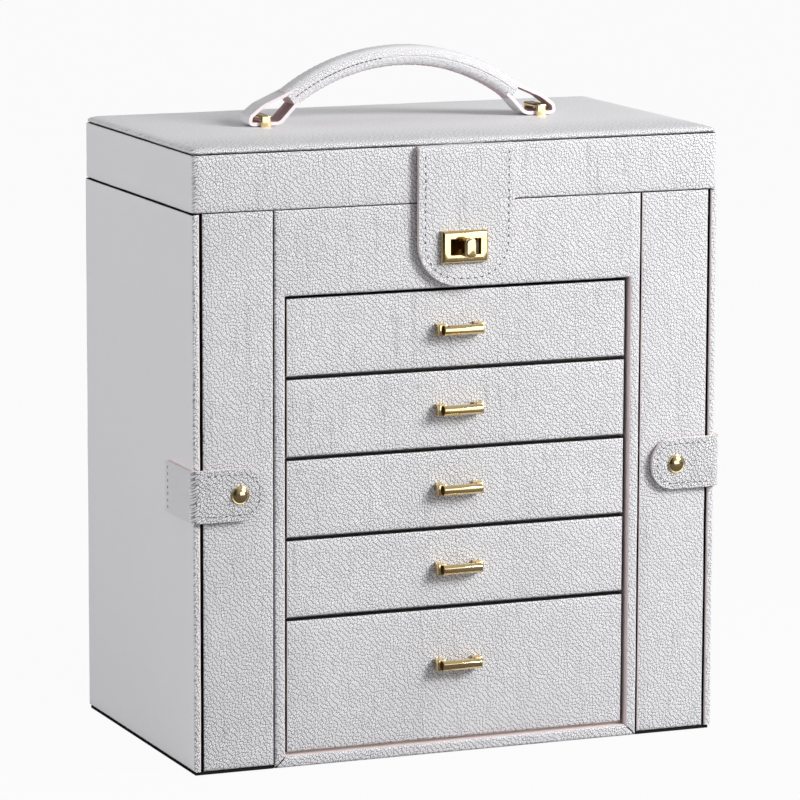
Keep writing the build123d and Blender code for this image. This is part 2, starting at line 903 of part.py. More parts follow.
def write_case():
    """Write the fixed boards, the lining and the fittings of the case."""
    save("base_board", make_base())
    save("floor_board", make_floor())
    save("back_panel", make_back())
    save("partitions", make_left_partition(), other_side(make_left_partition()))
    save("front_frame", *make_front_frame())
    save("left_front_strip", make_left_strip())
    save("right_front_strip", other_side(make_left_strip()))
    save("drawer_shelves", *make_shelves())
    save("tray_floor", make_tray_floor())
    save("side_caps", make_left_cap(), other_side(make_left_cap()))
    save("tray_dividers", *make_tray_dividers())
    save("ring_cushions", *make_ring_cushions())
    save("lock_base", make_lock_base())
    save("snap_studs", make_left_stud(), other_side(make_left_stud()))


def write_hinges():
    """Write the leaves and pins of the lid and door hinges."""
    case_leaves, lid_leaves, pins = make_lid_hinges()
    door_case_leaves, door_leaves, door_pins = make_left_door_hinges()
    save("lid_hinge_case_leaves", *case_leaves)
    save("lid_hinge_leaves", *lid_leaves)
    both_sides = door_case_leaves + [other_side(piece) for piece in door_case_leaves]
    save("door_hinge_case_leaves", *both_sides)
    save("left_door_hinge_leaves", *door_leaves)
    save("right_door_hinge_leaves", *[other_side(piece) for piece in door_leaves])
    save("hinge_pins", *pins, *door_pins, *[other_side(pin) for pin in door_pins])


def write_lid():
    """Write the lid, its handle and the flap with its lock."""
    save("lid_frame", *make_lid_frame())
    save("lid_top_board", make_lid_top_board())
    save("lid_cushion", make_cushion())
    save("lid_mirror", make_mirror())
    save("mirror_surround", *make_mirror_surround())
    save("handle_brackets", make_left_bracket(), other_side(make_left_bracket()))
    save("handle_grip", make_grip())
    save("handle_loops", make_left_loop(), other_side(make_left_loop()))
    save("flap_anchor", make_flap_anchor())
    save("lock_flap", make_flap())
    save("lock_plate", make_lock_plate())
    save("lock_knob", make_knob())


def write_sides():
    """Write both doors with what they carry, the right as the mirror of the left."""
    left_pieces = {
        "door": [make_left_door()],
        "hook_rail": make_left_hook_rail(),
        "pocket": make_left_pocket(),
        "strap_anchor": [make_left_strap_anchor()],
        "strap": [make_left_strap()],
        "snap_cap": [make_left_snap()],
    }
    for name, pieces in left_pieces.items():
        save(f"left_{name}", *pieces)
        save(f"right_{name}", *[other_side(piece) for piece in pieces])


def write_drawers():
    """Write each drawer's front, tray and pull, numbered from the top."""
    cells = list(zip(seams[:-1], seams[1:]))
    for number, (low, high) in enumerate(reversed(cells), start=1):
        save(f"drawer_{number}_front", make_drawer_front(low, high))
        save(f"drawer_{number}_tray", *make_drawer_tray(low, high))
        save(f"drawer_{number}_pull", *make_pull(low, high))


os.makedirs("parts", exist_ok=True)
write_case()
write_hinges()
write_lid()
write_sides()
write_drawers()
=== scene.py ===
"""Leather-covered jewellery box with five drawers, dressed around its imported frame.

Lengths are written in millimetres and turned into metres by MM, where Blender takes them.
"""

import json
import logging
import math
from collections.abc import Callable, Iterable, Sequence
from dataclasses import dataclass, field
from enum import Enum
from itertools import pairwise

import bpy
from mathutils import Matrix, Vector


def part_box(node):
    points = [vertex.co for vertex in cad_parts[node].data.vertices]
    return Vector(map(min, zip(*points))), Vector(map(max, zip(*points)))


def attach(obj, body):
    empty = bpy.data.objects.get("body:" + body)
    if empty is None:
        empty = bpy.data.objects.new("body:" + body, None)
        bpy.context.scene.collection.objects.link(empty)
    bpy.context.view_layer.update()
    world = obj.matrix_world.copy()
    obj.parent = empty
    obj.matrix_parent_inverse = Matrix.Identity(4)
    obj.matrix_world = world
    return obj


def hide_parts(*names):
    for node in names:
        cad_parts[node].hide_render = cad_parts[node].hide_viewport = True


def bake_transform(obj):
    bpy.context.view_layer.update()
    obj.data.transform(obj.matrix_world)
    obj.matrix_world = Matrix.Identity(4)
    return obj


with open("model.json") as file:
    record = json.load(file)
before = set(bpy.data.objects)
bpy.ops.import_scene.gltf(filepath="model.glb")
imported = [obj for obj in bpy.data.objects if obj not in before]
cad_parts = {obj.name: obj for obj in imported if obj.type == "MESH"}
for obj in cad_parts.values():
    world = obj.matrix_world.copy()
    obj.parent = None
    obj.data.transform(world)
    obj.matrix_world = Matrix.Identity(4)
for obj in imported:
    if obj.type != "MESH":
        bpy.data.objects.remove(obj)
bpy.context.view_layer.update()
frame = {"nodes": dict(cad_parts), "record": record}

MM = 0.001
NEAR = 0.01  # millimetres within which two coordinates count as one
DOUBLE = 0.002  # millimetres within which two points are merged
BEND_FLATS = 7  # flats round a bend of a ribbon
ARC_STEPS = 12  # steps round a corner of a row of stitches
CLOTH_STEPS = 20  # frames in which stuffed cloth settles
STILL = MM * MM  # least length of a move, so that a still point divides by more than zero

log = logging.getLogger("jewellery box")
Place = Sequence[float]
Stitch = tuple[float, float, float]
Test = Callable[[Vector, Vector], bool]
Tree = bpy.types.NodeTree
Node = bpy.types.Node
Socket = bpy.types.NodeSocket


class Slot(Enum):
    """Material slots of the record."""

    LEATHER = "white_leatherette"
    VELVET = "velvet_lining"
    BACKING = "black_backing"
    GOLD = "gold_metal"
    MIRROR = "mirror_glass"


class Part(Enum):
    """What a test of place selects, in the order of Blender's select modes."""

    POINTS = 0
    EDGES = 1
    FACES = 2


class Side(Enum):
    """The two sides of the box, with the sign of their X."""

    LEFT = -1
    RIGHT = 1

    @property
    def word(self) -> str:
        """The side's name in small letters."""
        return self.name.lower()


# Working in metres, and colours
def linear(code: str) -> tuple[float, float, float, float]:
    """Turn an sRGB hex colour into the linear one that shaders take.

    Args:
        code: six hex digits after a hash sign.

    Returns:
        Red, green, blue and an alpha of one.
    """
    values = []
    for start in (1, 3, 5):
        part = int(code[start : start + 2], 16) / 255
        values.append(part / 12.92 if part <= 0.04045 else ((part + 0.055) / 1.055) ** 2.4)
    return (*values, 1.0)


def mm(*values: float) -> Vector:
    """Turn three millimetre values into a point in metres."""
    return Vector(values) * MM


def spans(node: str) -> tuple[Vector, Vector]:
    """Lowest and highest corner of a CAD node, in millimetres."""
    low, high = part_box(node)
    return low / MM, high / MM


# Shaping
@dataclass
class Workpiece:
    """One mesh object, shaped with Blender's own operators and kept at the origin.

    Args:
        thing: the Blender object.
    """

    thing: bpy.types.Object

    @property
    def mesh(self) -> bpy.types.Mesh:
        """The object's mesh."""
        return self.thing.data

    def hold(self) -> None:
        """Make this the only selected object, and the active one."""
        bpy.ops.object.select_all(action="DESELECT")
        self.thing.select_set(True)
        bpy.context.view_layer.objects.active = self.thing

    def select(self, part: Part, chosen: list[bool]) -> "Workpiece":
        """Select some points, edges or faces and nothing else.

        Args:
            part: what is selected.
            chosen: one flag for each of them.

        Returns:
            This piece.
        """
        groups = (self.mesh.vertices, self.mesh.edges, self.mesh.polygons)
        for group in groups:
            group.foreach_set("select", [False] * len(group))
        groups[part.value].foreach_set("select", chosen)
        bpy.context.tool_settings.mesh_select_mode = [part is each for each in Part]
        return self

    def points(self, test: Callable[[Vector], bool]) -> "Workpiece":
        """Select the points whose place, in millimetres, passes a test."""
        return self.select(Part.POINTS, [test(point.co / MM) for point in self.mesh.vertices])

    def edges(self, test: Test) -> "Workpiece":
        """Select the edges whose two ends, in millimetres, pass a test."""
        ends = [[self.mesh.vertices[i].co / MM for i in edge.vertices] for edge in self.mesh.edges]
        return self.select(Part.EDGES, [test(start, end) for start, end in ends])

    def faces(self, test: Test) -> "Workpiece":
        """Select the faces whose centre, in millimetres, and normal pass a test."""
        chosen = [test(face.center / MM, face.normal) for face in self.mesh.polygons]
        return self.select(Part.FACES, chosen)

    def whole(self) -> "Workpiece":
        """Select every face."""
        return self.faces(lambda *_: True)

    def do(self, operator: Callable, **settings: object) -> "Workpiece":
        """Run one edit-mode operator on what is selected.

        Args:
            operator: a function of bpy.ops.
            settings: its settings.

        Returns:
            This piece.
        """
        self.hold()
        bpy.ops.object.mode_set(mode="EDIT")
        operator(**settings)
        bpy.ops.object.mode_set(mode="OBJECT")
        return self

    def bevel(self, width: float, segments: int = 4, corners: bool = False) -> "Workpiece":
        """Round the selected edges, or the selected points.

        Args:
            width: radius of the rounding, in millimetres.
            segments: flats across it.
            corners: round points and not edges.

        Returns:
            This piece.
        """
        affect = "VERTICES" if corners else "EDGES"
        return self.do(bpy.ops.mesh.bevel, offset=width * MM, segments=segments, affect=affect)

    def inset(self, width: float, depth: float = 0.0) -> "Workpiece":
        """Inset the selected faces as one region, both in millimetres."""
        size = {"thickness": width * MM, "depth": depth * MM}
        return self.do(bpy.ops.mesh.inset, use_even_offset=True, **size)

    def pull(self, *step: float) -> "Workpiece":
        """Extrude what is selected by a step in millimetres."""
        move = {"value": mm(*step)}
        return self.do(bpy.ops.mesh.extrude_region_move, TRANSFORM_OT_translate=move)

    def shift(self, *step: float) -> "Workpiece":
        """Move what is selected by a step in millimetres."""
        return self.do(bpy.ops.transform.translate, value=mm(*step))

    def grow(self, middle: Place, *factors: float) -> "Workpiece":
        """Scale what is selected about a middle in millimetres."""
        return self.do(bpy.ops.transform.resize, value=factors, center_override=mm(*middle))

    def rows(self, axis: int, spacing: float) -> "Workpiece":
        """Cut the piece across an axis into even rows.

        Args:
            axis: 0, 1 or 2 for X, Y or Z.
            spacing: about the width of a row, in millimetres.

        Returns:
            This piece.
        """
        places = [point.co[axis] for point in self.mesh.vertices]
        low, high = min(places), max(places)
        count = max(2, round((high - low) / MM / spacing))
        normal = Vector([float(index == axis) for index in range(3)])
        self.hold()
        bpy.ops.object.mode_set(mode="EDIT")
        for step in range(1, count):
            bpy.ops.mesh.select_all(action="SELECT")
            place = normal * (low + (high - low) * step / count)
            bpy.ops.mesh.bisect(plane_co=place, plane_no=normal)
        bpy.ops.object.mode_set(mode="OBJECT")
        return self

    def trim(self, place: Place, normal: Place) -> "Workpiece":
        """Cut away what lies beyond a plane and close the cut.

        Args:
            place: a point of the plane, in millimetres.
            normal: direction of the side that goes.

        Returns:
            This piece.
        """
        self.whole()
        settings = {"plane_co": mm(*place), "plane_no": Vector(normal)}
        return self.do(bpy.ops.mesh.bisect, use_fill=True, clear_outer=True, **settings)

    def modify(self, kind: str, **settings: object) -> "Workpiece":
        """Add a modifier and apply it.

        Args:
            kind: the modifier's type.
            settings: its settings.

        Returns:
            This piece.
        """
        self.hold()
        modifier = self.thing.modifiers.new(kind.lower(), kind)
        for name, value in settings.items():
            setattr(modifier, name, value)
        bpy.ops.object.modifier_apply(modifier=modifier.name)
        return self

    def ease(self, width: float, segments: int = 2, angle: float = 30) -> "Workpiece":
        """Take the sharpness off every edge steeper than an angle.

        Args:
            width: width of the eased edge, in millimetres.
            segments: flats across it.
            angle: least angle between two faces, in degrees.

        Returns:
            This piece.
        """
        limit = {"limit_method": "ANGLE", "angle_limit": math.radians(angle)}
        return self.modify("BEVEL", width=width * MM, segments=segments, **limit)

    def wave(self, height: float, length: float) -> "Workpiece":
        """Let the surface rise and fall, as a covering over board does.

        Args:
            height: distance from hollow to crest, in millimetres.
            length: distance between crests, in millimetres.

        Returns:
            This piece.
        """
        pattern = bpy.data.textures.new(self.thing.name, "CLOUDS")
        pattern.noise_scale = length * MM
        settings = {"texture": pattern, "texture_coords": "LOCAL", "strength": height * MM}
        return self.modify("DISPLACE", mid_level=0.5, **settings)

    def thicken(self, thickness: float, inner: int = 0) -> "Workpiece":
        """Give a sheet its thickness to both sides, with its second finish on the rim.

        Args:
            thickness: in millimetres.
            inner: index of the finish on the side behind the sheet.

        Returns:
            This piece.
        """
        self.outward()
        if max(self.mesh.polygons, key=lambda face: face.center.z).normal.z < 0:
            self.whole().do(bpy.ops.mesh.flip_normals)
        finishes = {"material_offset_rim": 1, "material_offset": inner}
        size = {"thickness": thickness * MM, "offset": 0.0, "use_even_offset": True}
        return self.modify("SOLIDIFY", **size, **finishes).outward()

    def inflated(self, cell: float, pressure: float, most: float) -> "Workpiece":
        """Blow the piece up as stuffed cloth, and keep each point near its place.

        Args:
            cell: size of the cloth's mesh in millimetres.
            pressure: of the stuffing.
            most: farthest that a point may move, in millimetres.

        Returns:
            This piece.
        """
        self.modify("REMESH", mode="VOXEL", voxel_size=cell * MM)
        before = [point.co.copy() for point in self.mesh.vertices]
        self.hold()
        cloth = self.thing.modifiers.new("cloth", "CLOTH")
        cloth.settings.use_pressure = True
        cloth.settings.uniform_pressure_force = pressure
        cloth.settings.effector_weights.gravity = 0
        for step in range(1, CLOTH_STEPS + 1):
            bpy.context.scene.frame_set(step)
        bpy.ops.object.modifier_apply(modifier=cloth.name)
        bpy.context.scene.frame_set(1)
        for point, start in zip(self.mesh.vertices, before):
            move = point.co - start
            point.co = start + move * min(1, most * MM / max(move.length, STILL))
        return self.modify("SUBSURF", levels=1, render_levels=1)

    def cut_out(self, cutter: "Workpiece") -> "Workpiece":
        """Take the shape of another piece out of this one, and remove that piece.

        Args:
            cutter: the other piece.

        Returns:
            This piece.
        """
        self.modify("BOOLEAN", operation="DIFFERENCE", object=cutter.thing, solver="EXACT")
        bpy.data.objects.remove(cutter.thing)
        return self

    def outward(self) -> "Workpiece":
        """Merge doubles and turn all faces outwards."""
        self.whole().do(bpy.ops.mesh.remove_doubles, threshold=DOUBLE * MM)
        return self.whole().do(bpy.ops.mesh.normals_make_consistent, inside=False)

    def smooth(self, angle: float = 38) -> "Workpiece":
        """Shade smooth across edges flatter than an angle in degrees.

        Args:
            angle: the angle.

        Returns:
            This piece.
        """
        self.hold()
        bpy.ops.object.shade_smooth_by_angle(angle=math.radians(angle))
        return self

    def copy(self, name: str, step: Place = (0, 0, 0)) -> "Workpiece":
        """Copy this piece with its own mesh.

        Args:
            name: the copy's name.
            step: how far it is moved, in millimetres.

        Returns:
            The copy.
        """
        twin = self.thing.copy()
        twin.data = self.mesh.copy()
        twin.data.transform(Matrix.Translation(mm(*step)))
        twin.name = twin.data.name = name
        bpy.context.scene.collection.objects.link(twin)
        return Workpiece(twin)

    def turned(self, name: str, matrix: Matrix) -> "Workpiece":
        """Copy this piece with its mesh put through a matrix in metres.

        Args:
            name: the copy's name.
            matrix: the matrix.

        Returns:
            The copy.
        """
        twin = self.copy(name)
        twin.mesh.transform(matrix)
        return twin

    def across(self, name: str) -> "Workpiece":
        """Copy this piece to the other side of the box."""
        return self.turned(name, Matrix.Scale(-1, 4, (1, 0, 0))).outward()

    def mirrored(self, name: str) -> "Workpiece":
        """Replace this piece by its copy on the other side of the box.

        Args:
            name: the copy's name.

        Returns:
            The copy.
        """
        self.thing.name = "spare"
        twin = self.across(name)
        bpy.data.objects.remove(self.thing)
        return twin

    def wear(self, *finishes: "Finish") -> "Workpiece":
        """Give the piece its finishes, the main one first.

        Args:
            finishes: the finishes.

        Returns:
            This piece.
        """
        self.mesh.materials.clear()
        for finish in finishes:
            self.mesh.materials.append(finish.material())
        self.thing["finish_slot"] = finishes[0].slot.value
        return self

    def paint(self, index: int) -> "Workpiece":
        """Give the selected faces the finish with that index.

        Args:
            index: place of the finish among those it wears.

        Returns:
            This piece.
        """
        for face in self.mesh.polygons:
            if face.select:
                face.material_index = index
        return self

    def ride(self, body: str, *nodes: str) -> bpy.types.Object:
        """Let the piece move with a body and stand for CAD nodes.

        Args:
            body: a body's name.
            nodes: names of the nodes that it replaces.

        Returns:
            The Blender object.
        """
        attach(self.thing, body)
        return self.declare(*nodes)

    def bend(
        self, bodies: tuple[str, str], start: Place, end: Place, *nodes: str
    ) -> bpy.types.Object:
        """Bake the piece's place into its mesh and let it stand for CAD nodes.

        Args:
            bodies: names of the two bodies. Not used.
            start: where the bend starts, in millimetres. Not used.
            end: where it ends. Not used.
            nodes: names of the nodes that it replaces.

        Returns:
            The Blender object.
        """
        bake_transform(self.thing)
        return self.declare(*nodes)

    def declare(self, *nodes: str) -> bpy.types.Object:
        """Hide the CAD nodes that the piece stands for, and log it.

        Args:
            nodes: names of the nodes that it replaces.

        Returns:
            The Blender object.
        """
        if nodes:
            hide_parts(*nodes)
        log.info("%s: %d faces", self.thing.name, len(self.mesh.polygons))
        return self.thing


def added(
    name: str, operator: Callable, stretch: Place = (1, 1, 1), **settings: object
) -> Workpiece:
    """Add a primitive with its place in its mesh.

    Args:
        name: the new object's name.
        operator: the function of bpy.ops that adds it.
        stretch: its scale along its own three axes.
        settings: its settings.

    Returns:
        The piece.
    """
    bpy.ops.object.select_all(action="DESELECT")
    operator(**settings)
    thing = bpy.context.active_object
    thing.name = thing.data.name = name
    thing.scale = stretch
    bpy.ops.object.transform_apply(location=True, rotation=True, scale=True)
    return Workpiece(thing)


def block(name: str, low: Place, high: Place) -> Workpiece:
    """Add a cube between two corners in millimetres.

    Args:
        name: the new object's name.
        low: lowest corner.
        high: highest corner.

    Returns:
        The block.
    """
    size = [(end - start) * MM for start, end in zip(low, high)]
    middle = [(end + start) / 2 * MM for start, end in zip(low, high)]
    return added(name, bpy.ops.mesh.primitive_cube_add, size=1, location=middle, stretch=size)


def rod(name: str, radius: float, start: Place, end: Place, sides: int = 40) -> Workpiece:
    """Add a cylinder along Y between two points.

    Args:
        name: the new object's name.
        radius: in millimetres.
        start: point of the axis with the lower Y, in millimetres.
        end: the other end of the axis.
        sides: flats round it.

    Returns:
        The piece.
    """
    middle = (mm(*start) + mm(*end)) / 2
    place = {"location": middle, "rotation": (math.pi / 2, 0, 0)}
    size = {"radius": radius * MM, "depth": (mm(*end) - mm(*start)).length, "vertices": sides}
    return added(name, bpy.ops.mesh.primitive_cylinder_add, **place, **size)


def ribbon(name: str, route: Sequence[Place], bends: Sequence[float], across: Place) -> Workpiece:
    """Pull a point along a route, round its bends and pull the line out to a strip.

    Args:
        name: the new object's name.
        route: points of the strip's middle line, in millimetres.
        bends: radius at each inner point, in millimetres.
        across: step from one side of the strip to the other.

    Returns:
        The strip, as a sheet with no thickness.
    """
    half = mm(*across) / 2
    places = [mm(*place) - half for place in route]
    piece = added(name, bpy.ops.mesh.primitive_plane_add, size=MM, location=places[0])
    piece.points(lambda _: True).do(bpy.ops.mesh.merge, type="CENTER")
    for start, end in pairwise(places):
        piece.points(lambda place: (place * MM - start).length < NEAR * MM)
        piece.pull(*((end - start) / MM))
    for index, radius in enumerate(bends, start=1):
        corner = places[index]
        before = (corner - places[index - 1]).normalized()
        after = (places[index + 1] - corner).normalized()
        reach = radius * math.tan(before.angle(after) / 2)
        piece.points(lambda place: (place * MM - corner).length < NEAR * MM)
        piece.bevel(reach, segments=BEND_FLATS, corners=True)
    piece.edges(lambda *_: True).pull(*across)
    return piece.outward()


def joined(name: str, pieces: Sequence[Workpiece]) -> Workpiece:
    """Join pieces into the first one.

    Args:
        name: its new name.
        pieces: the pieces.

    Returns:
        The first piece.
    """
    pieces[0].hold()
    for piece in pieces[1:]:
        piece.thing.select_set(True)
    bpy.ops.object.join()
    pieces[0].thing.name = pieces[0].mesh.name = name
    return pieces[0]


# Finishes
def add_node(tree: Tree, kind: str, values: dict | None = None, **links: Socket) -> Node:
    """Add one node to a material.

    Args:
        tree: the material's tree.
        kind: the node's type, without its common first part.
        values: settings by attribute, or by the name or index of a socket.
        links: output sockets by the name of the input that they go to, with _ for a space.

    Returns:
        The node.
    """
    node = tree.nodes.new("ShaderNode" + kind)
    for name, value in (values or {}).items():
        if isinstance(name, str) and hasattr(node, name):
            setattr(node, name, value)
        else:
            node.inputs[name].default_value = value
    for name, source in links.items():
        key = int(name[1:]) if name[1:].isdigit() else name.replace("_", " ")
        tree.links.new(source, node.inputs[key])
    return node


@dataclass(frozen=True)
class Finish:
    """A finish that pieces wear.

    Args:
        name: the material's name.
        slot: the record's slot that it belongs to.
        colour: main sRGB colour.
        roughness: of the surface.
    """

    name: str
    slot: Slot
    colour: str
    roughness: float = 0.5

    def material(self) -> bpy.types.Material:
        """Return the material, making it the first time.

        Returns:
            The material.
        """
        known = bpy.data.materials.get(self.name)
        if known:
            return known
        made = bpy.data.materials.new(self.name)
        made.use_nodes = True
        tree = made.node_tree
        shader = tree.nodes["Principled BSDF"]
        shader.inputs["Roughness"].default_value = self.roughness
        shader.inputs["Base Color"].default_value = linear(self.colour)
        self.surface(tree, shader)
        return made

    def surface(self, tree: Tree, shader: Node) -> None:
        """Add what the finish needs to a plain shader."""

    @staticmethod
    def spot(
        tree: Tree, size: Place, turn: Place = (0, 0, 0), place: Socket | None = None
    ) -> Socket:
        """Coordinates on the object, counted in cells of a size.

        Args:
            tree: the material's tree.
            size: length, depth and height of a cell in millimetres.
            turn: turn of the cells in degrees.
            place: the coordinates in metres, if not the object's own.

        Returns:
            The socket with the coordinates.
        """
        place = place or add_node(tree, "TexCoord").outputs["Object"]
        mapping = {"vector_type": "POINT", "Rotation": [math.radians(angle) for angle in turn]}
        turned = add_node(tree, "Mapping", mapping, Vector=place)
        scaling = {"operation": "MULTIPLY", 1: [1 / (length * MM) for length in size]}
        return add_node(tree, "VectorMath", scaling, _0=turned.outputs[0]).outputs[0]


@dataclass(frozen=True)
class Leatherette(Finish):
    """Pebbled leatherette: coated cloth embossed by a roller, pulled tight over board.

    Args:
        hollow: painted shade in the hollows of the grain and in its creases.
        grain: width of a pebble in millimetres.
        stretch: length of a pebble, in widths.
        slant: turn of the pebbles in degrees.
        gap: width of a hollow, as a share of a pebble's width.
        relief: height of the grain in millimetres.
        flat: tone where the grain fades, from the hollow's painted shade to the main colour.
        side_fading: share of the grain and its painted shade that fades on the sides, lit flat.
        crease: size of the pattern of creases each way, in millimetres.
        crease_width: half the width of a crease, as a share of that pattern.
        crease_depth: depth of a crease and of its painted shade, as a share of the relief.
        cloud: size of the slow changes of tone each way, in millimetres.
        cloud_share: how strong these changes are.
        fading: Y in metres where the grain on the lid starts to fade, and where it is faint.
    """

    hollow: str = "#7E7C82"
    grain: float = 1.0
    stretch: float = 2.2
    slant: float = 46.0
    gap: float = 0.19
    relief: float = 0.25
    flat: float = 0.88
    side_fading: float = 0.86
    crease: tuple[float, float, float] = (3.6, 3.6, 95.0)
    crease_width: float = 0.03
    crease_depth: float = 0.16
    cloud: tuple[float, float, float] = (45.0, 45.0, 60.0)
    cloud_share: float = 0.2
    fading: tuple[float, float] = (-0.083, -0.035)

    def surface(self, tree: Tree, shader: Node) -> None:
        """Emboss the pebbles and the stretch creases, with painted shade in their hollows.

        Args:
            tree: the material's tree.
            shader: its Principled shader.
        """
        strength = self.grain_strength(tree)
        weight = {"operation": "MULTIPLY_ADD", 1: self.crease_depth}
        carved = add_node(tree, "Math", weight, _0=self.creases(tree), _2=self.pebbles(tree))
        place = self.spot(tree, self.cloud)
        cloud = add_node(tree, "TexNoise", {"Scale": 1.0, "Detail": 2.0}, Vector=place)
        weight = {"operation": "MULTIPLY_ADD", 1: self.cloud_share}
        tone = add_node(tree, "Math", weight, _0=cloud.outputs["Fac"], _2=carved.outputs[0])
        span = {1: 0.15, 2: 1.35, 3: 0.0, 4: 1.0}
        shade = add_node(tree, "MapRange", span, Value=tone.outputs[0])
        grain_strength = {"data_type": "FLOAT", 2: self.flat}
        smooth = add_node(tree, "Mix", grain_strength, _0=strength, _3=shade.outputs[0])
        # The hollow colour is painted shade, darkest in hollows and creases, faded where the grain
        # is weak.
        tones = {"data_type": "RGBA", 6: linear(self.hollow), 7: linear(self.colour)}
        colour = add_node(tree, "Mix", tones, _0=smooth.outputs[0])
        tree.links.new(colour.outputs[2], shader.inputs["Base Color"])
        height = {"Distance": self.relief * MM}
        relief = add_node(tree, "Bump", height, Height=carved.outputs[0], Strength=strength)
        tree.links.new(relief.outputs[0], shader.inputs["Normal"])
        shader.inputs["Specular IOR Level"].default_value = 0.35
        shader.inputs["Sheen Weight"].default_value = 0.06

    def pebbles(self, tree: Tree) -> Socket:
        """Lay slanted pebbles of even size with narrow hollows between them.

        The object's coordinates are sheared into two, which differ along faces of every direction.

        Args:
            tree: the material's tree.

        Returns:
            The socket with their height, 0 in a hollow and 1 on a pebble.
        """
        place = add_node(tree, "TexCoord").outputs["Object"]
        ways = [{"operation": "DOT_PRODUCT", 1: way} for way in ((1.0, 0.9, 0.0), (0.0, 0.5, 1.0))]
        along, up = (add_node(tree, "VectorMath", way, _0=place) for way in ways)
        flat = add_node(tree, "CombineXYZ", X=along.outputs["Value"], Y=up.outputs["Value"])
        size = (self.grain, self.grain * self.stretch, 1.0)
        cells = self.spot(tree, size, (0, 0, self.slant), flat.outputs[0])
        bend = add_node(tree, "TexNoise", {"Scale": 0.35, "Detail": 1.0}, Vector=cells)
        reach = {"operation": "MULTIPLY_ADD", 1: (0.7, 0.7, 0.7)}
        bent = add_node(tree, "VectorMath", reach, _0=bend.outputs["Color"], _2=cells)
        edges = {"voronoi_dimensions": "2D", "feature": "DISTANCE_TO_EDGE"}
        even = {"Scale": 1.0, "Randomness": 0.8}
        pebble = add_node(tree, "TexVoronoi", edges | even, Vector=bent.outputs[0])
        slope = {"interpolation_type": "SMOOTHSTEP", 1: 0.0, 2: self.gap, 3: 0.0, 4: 1.0}
        return add_node(tree, "MapRange", slope, Value=pebble.outputs["Distance"]).outputs[0]

    def creases(self, tree: Tree) -> Socket:
        """Draw long broken creases where a stretched noise crosses its middle.

        Args:
            tree: the material's tree.

        Returns:
            The socket with 0 in a crease and 1 off it.
        """
        place = self.spot(tree, self.crease, (0, 2, 0))
        sway = add_node(tree, "TexNoise", {"Scale": 1.0, "Detail": 1.0}, Vector=place)
        middle = {"operation": "SUBTRACT", 1: 0.5}
        away = add_node(tree, "Math", middle, _0=sway.outputs["Fac"])
        off = add_node(tree, "Math", {"operation": "ABSOLUTE"}, _0=away.outputs[0])
        slope = {"interpolation_type": "SMOOTHSTEP", 1: 0.0, 2: self.crease_width, 3: 0.0, 4: 1.0}
        line = add_node(tree, "MapRange", slope, Value=off.outputs[0])
        fade = add_node(tree, "TexNoise", {"Scale": 2.3, "Detail": 0.0}, Vector=place)
        span = {1: 0.45, 2: 0.6, 3: 0.0, 4: 1.0}
        broken = add_node(tree, "MapRange", span, Value=fade.outputs["Fac"])
        either = {"operation": "MAXIMUM"}
        return add_node(tree, "Math", either, _0=line.outputs[0], _1=broken.outputs[0]).outputs[0]

    def grain_strength(self, tree: Tree) -> Socket:
        """Weaken the grain and its painted shade on the sides, lit flat, and far back on the lid.

        Args:
            tree: the material's tree.

        Returns:
            The socket with the grain's strength.
        """
        place = add_node(tree, "TexCoord")
        facing = add_node(tree, "SeparateXYZ", Vector=place.outputs["Normal"])
        spot = add_node(tree, "SeparateXYZ", Vector=place.outputs["Object"])
        aside = add_node(tree, "Math", {"operation": "ABSOLUTE"}, _0=facing.outputs["X"])
        sides = {1: 0.6, 2: 0.95, 3: 0.0, 4: self.side_fading}
        side = add_node(tree, "MapRange", sides, Value=aside.outputs[0])
        upward = {1: 0.5, 2: 0.95, 3: 0.0, 4: 0.8}
        up = add_node(tree, "MapRange", upward, Value=facing.outputs["Z"])
        depth = {1: self.fading[0], 2: self.fading[1], 3: 0.15, 4: 1.0}
        back = add_node(tree, "MapRange", depth, Value=spot.outputs["Y"])
        both = {"operation": "MULTIPLY"}
        top = add_node(tree, "Math", both, _0=up.outputs[0], _1=back.outputs[0])
        either = {"operation": "MAXIMUM"}
        most = add_node(tree, "Math", either, _0=side.outputs[0], _1=top.outputs[0])
        rest = {"operation": "SUBTRACT", 0: 1.0}
        return add_node(tree, "Math", rest, _1=most.outputs[0]).outputs[0]


@dataclass(frozen=True)
class Velvet(Finish):
    """Flocked velvet lining: short nylon pile shot on to cloth, matt with a soft sheen.

    Args:
        pile: size of a tuft in millimetres.
        brushed: size each way of the patches in which the pile leans alike, in millimetres.
    """

    pile: float = 0.5
    brushed: tuple[float, float, float] = (28.0, 28.0, 19.0)

    def surface(self, tree: Tree, shader: Node) -> None:
        """Vary the pile's lean and shade.

        Args:
            tree: the material's tree.
            shader: its Principled shader.
        """
        tufts, patches = self.spot(tree, (self.pile,) * 3), self.spot(tree, self.brushed)
        hairs = add_node(tree, "TexNoise", {"Scale": 1.0, "Detail": 3.0}, Vector=tufts)
        lean = add_node(tree, "TexNoise", {"Scale": 1.0, "Detail": 2.0}, Vector=patches)
        weight = {"operation": "MULTIPLY_ADD", 1: 0.4}
        both = add_node(tree, "Math", weight, _0=lean.outputs["Fac"], _2=hairs.outputs["Fac"])
        span = {1: 0.4, 2: 1.0, 3: 0.88, 4: 1.05}
        light = add_node(tree, "MapRange", span, Value=both.outputs[0])
        tone = {"operation": "SCALE", 0: linear(self.colour)[:3]}
        colour = add_node(tree, "VectorMath", tone, Scale=light.outputs[0])
        tree.links.new(colour.outputs[0], shader.inputs["Base Color"])
        height = {"Distance": 0.2 * MM, "Strength": 0.8}
        bump = add_node(tree, "Bump", height, Height=hairs.outputs["Fac"])
        tree.links.new(bump.outputs[0], shader.inputs["Normal"])
        shader.inputs["Sheen Weight"].default_value = 0.25
        shader.inputs["Sheen Roughness"].default_value = 0.4
        shader.inputs["Specular IOR Level"].default_value = 0.15


